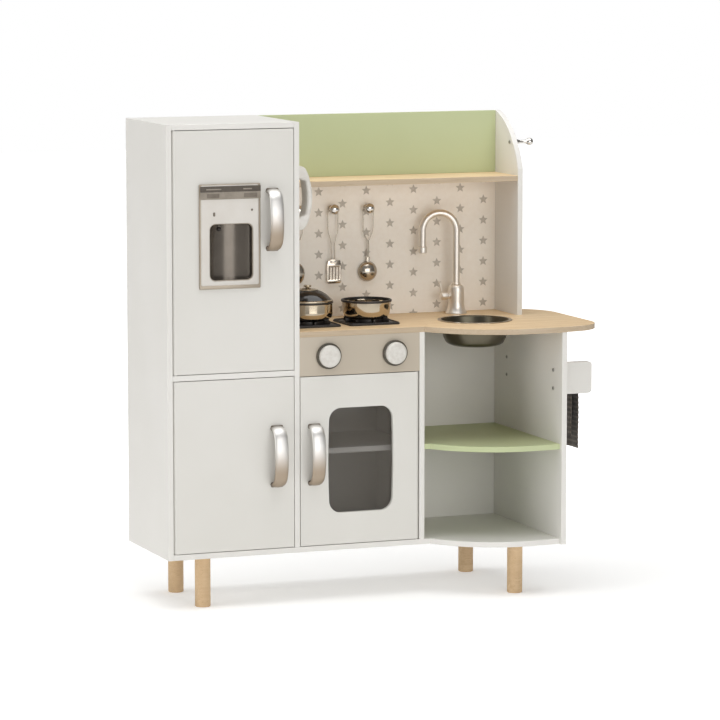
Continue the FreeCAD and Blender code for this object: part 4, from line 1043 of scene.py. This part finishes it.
# ---- telephone
def telephone():
    """A wall plate with two dark rests, and a handset with an ear at each end."""
    low, high, mid = box("phone_cradle")
    deep, tall, thick = high.y - low.y, high.z - low.z, high.x - low.x
    rest = 2.6
    form = Form()
    form.pad(deep, tall, 8, (low.x, mid.y, mid.z), thick, 2.2, PHONE, right=Y)
    for side in (-1, 1):
        cup = (low.x + thick - rest, mid.y, mid.z + side * tall * 0.32)
        form.pad(deep * 0.62, 20, 8, cup, rest, 0.8, RECESS, right=Y)
    fit(form.done("phone_wall_plate"), "carcass", "white_plastic", "phone_cradle")

    low, high, mid = box("phone_handset")
    half, reach, width = (high.z - low.z) / 2, high.x - low.x, high.y - low.y
    outside = arc((17, -half), (reach, 0), (17, half), 48)
    rings = []
    for out, z in outside:
        share = abs(z) / half
        ear = smooth((share - 0.52) / 0.14)
        grip = 12.5 - 1.5 * share
        inner = (out - grip) * (1 - ear) + 0.3 * ear
        if share > 0.93:
            close = (share - 0.93) / 0.07
            inner += 4 * close * close
            out -= 5 * close * close
        broad = width * (0.86 + 0.14 * ear) * (1 - 0.10 * max(0, share - 0.9) / 0.1)
        section = rounded(out - inner, broad, min(5.5, (out - inner) * 0.42), steps=5)
        across = low.x + (out + inner) / 2
        rings.append([Vector((across + a, mid.y + b, mid.z + z)) for a, b in section])
    form = Form()
    form.skin(rings, PHONE)
    fit(form.done("phone_handset_moulded", 48), "handset", "white_plastic", "phone_handset")


# ---- window, hook, screws, towel
def oven_window():
    """The pane with its round corners, behind the door."""
    low, high, mid = box("oven_window")
    form = Form()
    width, tall = high.x - low.x, high.z - low.z
    place = facing((mid.x, high.y, mid.z), X, Z)
    form.plate([rounded(width, tall, 34, steps=14)], place, high.y - low.y - 0.2, 0.5, PANE)
    fit(form.done("oven_pane"), "oven_door_leaf", "smoked_pane", "oven_window")


def coat_hook():
    """A turned hook with a round head, on the right side."""
    low, high, mid = box("coat_hook")
    reach = high.x - low.x
    profile = [(8.8, 0), (9, 1.2), (7, 3.4), (4.2, 9), (3.8, 18), (4.4, reach - 17),
               (7.4, reach - 13), (8.5, reach - 8), (7, reach - 3), (3.4, reach - 0.6), (0.4, reach)]
    form = Form()
    form.turned(eased(profile, 3, 5), (low.x, mid.y, mid.z), X, CHROME, count=56)
    fit(form.done("coat_hook_turned"), "carcass", "chrome", "coat_hook")


def side_screws():
    """Cross-head screws through the right side, set out where the fittings are held; each cross recess
    is a black cross, painted shade.
    """
    brackets, hook = box("rail_brackets"), box("coat_hook")[2]
    low, high, _ = box("side_screws")
    inset, lift, pitch = 6, 14, 40
    rows = (brackets[0].y + inset, brackets[1].y - inset)
    first = brackets[0].z + lift
    places = [(low.x, hook.y, hook.z)] + [(low.x, y, z) for y in rows for z in (first, first + pitch)]
    form = Form()
    length, sunk = high.x - low.x, 0.05
    body = [(0.6, 0), (3.6, 0.1), (4.2, 0.6), (4.2, 0.9), (2, 2.3), (1.9, length - 3), (0.4, length)]
    form.turned(body, (0, 0, 0), X, STEEL, count=24)
    pattern = form.done("screw_pattern")
    form = Form()
    set_out(form, pattern, places, STEEL)
    # Painted shade: black bars stand for the shadowed cross recess in each head.
    cross = spokes((0, 0, 0), 4, 0.1, 2.3, 0.9, 0.5)
    cross.transform(Matrix.Rotation(pi / 2, 4, "Y"))
    for place in places:
        here = cross.copy()
        here.transform(Matrix.Translation((Vector(place) - X * sunk) * MM))
        form.take(here, BLACK)
    bpy.data.meshes.remove(cross)
    fit(form.done("side_screws_cross"), "carcass", "steel", "side_screws")


def towel():
    """A ribbed hand towel folded over the rail, its two falls hanging a little loose."""
    low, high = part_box("towel")
    rail = box("towel_rail")[2] * MM
    width = high.y - low.y
    thin, over = 1.6 * MM, 7.6 * MM
    front, rear, slack = rail.z - low.z, 150 * MM, 60 * MM
    bend = pi * over
    length = front + bend + rear
    rows, columns = 190, 44

    def lie(s, t):
        """Where a point of the flat cloth, t along the rail and s down it, comes to rest."""
        waves = ((1.5 * MM, 2.5, 0.6), (0.7 * MM, 6, 2.0))
        wave = sum(size * sin(t * tau * count + start) for size, count, start in waves)
        if s < front:
            down = front - s
            ease = min(1.0, down / slack)
            spot = Vector((rail.x + over + wave * ease, 0, rail.z - down))
            out = X
        elif s < front + bend:
            a = (s - front) / over
            spot = Vector((rail.x + over * cos(a), 0, rail.z + over * sin(a)))
            out = Vector((cos(a), 0, sin(a)))
        else:
            down = s - front - bend
            ease = min(1.0, down / slack)
            spot = Vector((rail.x - over + 0.8 * wave * ease, 0, rail.z - down))
            out = -X
        spot.y = low.y + width * t + 0.8 * MM * sin(s * 60)
        return spot, out

    form = bmesh.new()
    cut = form.loops.layers.uv.new("cut")
    grids = []
    for side in (1, 0):
        grid = []
        for j in range(rows + 1):
            s = length * j / rows
            rib = 0.5 * MM * sin(s * tau / RIB_PITCH)
            line = []
            for i in range(columns + 1):
                spot, out = lie(s, i / columns)
                line.append(form.verts.new(spot + out * ((thin + rib) if side else 0.0)))
            grid.append(line)
        grids.append(grid)
    top, under = grids

    def face(corners, spots):
        made = form.faces.new(corners)
        made.smooth = True
        for loop, (i, j) in zip(made.loops, spots):
            loop[cut].uv = (width * i / columns, length * j / rows)

    for j in range(rows):
        for i in range(columns):
            spots = [(i, j), (i + 1, j), (i + 1, j + 1), (i, j + 1)]
            face([top[b][a] for a, b in spots], spots)
            face([under[b][a] for a, b in reversed(spots)], spots[::-1])
    for j in range(rows):
        for i in (0, columns):
            face([top[j][i], top[j + 1][i], under[j + 1][i], under[j][i]],
                 [(i, j), (i, j + 1), (i, j + 1), (i, j)])
    for i in range(columns):
        for j in (0, rows):
            face([top[j][i], under[j][i], under[j][i + 1], top[j][i + 1]],
                 [(i, j), (i, j), (i + 1, j), (i + 1, j)])
    bmesh.ops.recalc_face_normals(form, faces=form.faces)
    mesh = bpy.data.meshes.new("towel_ribbed")
    form.to_mesh(mesh)
    form.free()
    mesh.materials.append(TOWEL)
    piece = bpy.data.objects.new("towel_ribbed", mesh)
    bpy.context.scene.collection.objects.link(piece)
    fit(piece, "carcass", "towel_cloth", "towel")


# ---- the kitchen
def paint(finish, *nodes):
    """Puts one finish on whole CAD parts."""
    for name in nodes:
        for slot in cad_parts[name].material_slots:
            slot.material = finish


def studio():
    """The camera, three soft lights, a pale floor and a white surround."""
    set_camera()
    world = bpy.data.worlds.new("studio")
    bpy.context.scene.world = world
    world.use_nodes = True
    b = Bench(world.node_tree)
    sky = world.node_tree.nodes["Background"]
    way = b.node("ShaderNodeTexCoord", None, None, "Generated")
    parts = b.node("ShaderNodeSeparateXYZ", None, {0: way}).socket.node
    side, up = Wire(b, parts.outputs[0]), Wire(b, parts.outputs[2])
    ramp = {"stops": [(0.0, (0.20, 0.185, 0.17, 1)), (0.47, (0.17, 0.16, 0.15, 1)),
                      (0.62, (0.28, 0.28, 0.275, 1)), (1.0, (0.36, 0.36, 0.36, 1))]}
    room = b.node("ShaderNodeValToRGB", ramp, {0: up * 0.5 + 0.5})
    flag = b.node("ShaderNodeMapRange", None, {"Value": side, "From Min": 0.35, "From Max": 0.85,
                                               "To Min": 0.0, "To Max": 0.6})
    room = b.node("ShaderNodeMix", {"data_type": "RGBA"}, {0: flag, 6: room, 7: (0.10, 0.095, 0.09, 1)},
                  2)
    seen = b.node("ShaderNodeLightPath", None, None, "Is Camera Ray")
    b.plug(sky.inputs["Color"],
           b.node("ShaderNodeMix", {"data_type": "RGBA"}, {0: seen, 6: room, 7: (1, 1, 1, 1)}, 2))
    soft_light("overhead", (-0.2, -0.2, 3.8), (0, 0.1, 0.5), 4.4, 3.8, 118, (1.0, 1.0, 0.995))
    soft_light("front", (0.6, -7.0, 1.5), (0, 0, 0.6), 4.6, 2.8, 114, (1.0, 0.995, 0.985))
    soft_light("left", (-6.0, -0.6, 1.6), (0, 0, 0.5), 4.2, 2.6, 94, (1.0, 0.995, 0.985))
    floor = Form()
    corners = ((-9000, -12000), (9000, -12000), (9000, 14000), (-9000, 14000))
    floor.skin([[(x, y, z) for x, y in corners] for z in (-20, 0)], floor_finish())
    floor.done("floor")
    bpy.context.scene.view_settings.view_transform = "Standard"


def kitchen():
    """Finishes for the CAD parts that stay, then every shaped piece."""
    paint(WHITE, "base_board", "divider_panel", "fridge_back_panel", "fridge_left_side",
          "fridge_middle_board", "fridge_right_side", "fridge_top", "lower_back_panel", "oven_shelf",
          "rail_brackets", "right_side_panel", "upper_right_side")
    paint(DOOR_PAINTED_SHADE, "lower_fridge_door", "oven_door", "upper_fridge_door")
    paint(SAGE, "corner_shelf", "top_back_panel")
    paint(TAUPE, "control_panel")
    paint(STARS, "backsplash_panel")
    paint(OAK, "upper_shelf", "worktop")
    paint(LEG, "legs")
    paint(RECESS, "dispenser_recess")
    paint(BLACK, "tap_nut")
    paint(PHONE, "magnet_catches")
    paint(CHROME, "towel_rail")
    for door in ("upper_door", "lower_door", "oven_door"):
        paint(STEEL, door + "_pivot_pins", door + "_handle_screws")
    strap_handle("upper_door_handle", "upper_door")
    strap_handle("lower_door_handle", "lower_door")
    strap_handle("oven_door_handle", "oven_door_leaf")
    dispenser()
    dial("left_knob", "left_dial")
    dial("right_knob", "right_dial")
    burner("left_burner")
    burner("right_burner")
    for shape in (pot, pot_lid, pan, sink, tap, hooks, turner, ladle_and_spoon, telephone,
                  oven_window, coat_hook, side_screws, towel):
        shape()


studio()
kitchen()
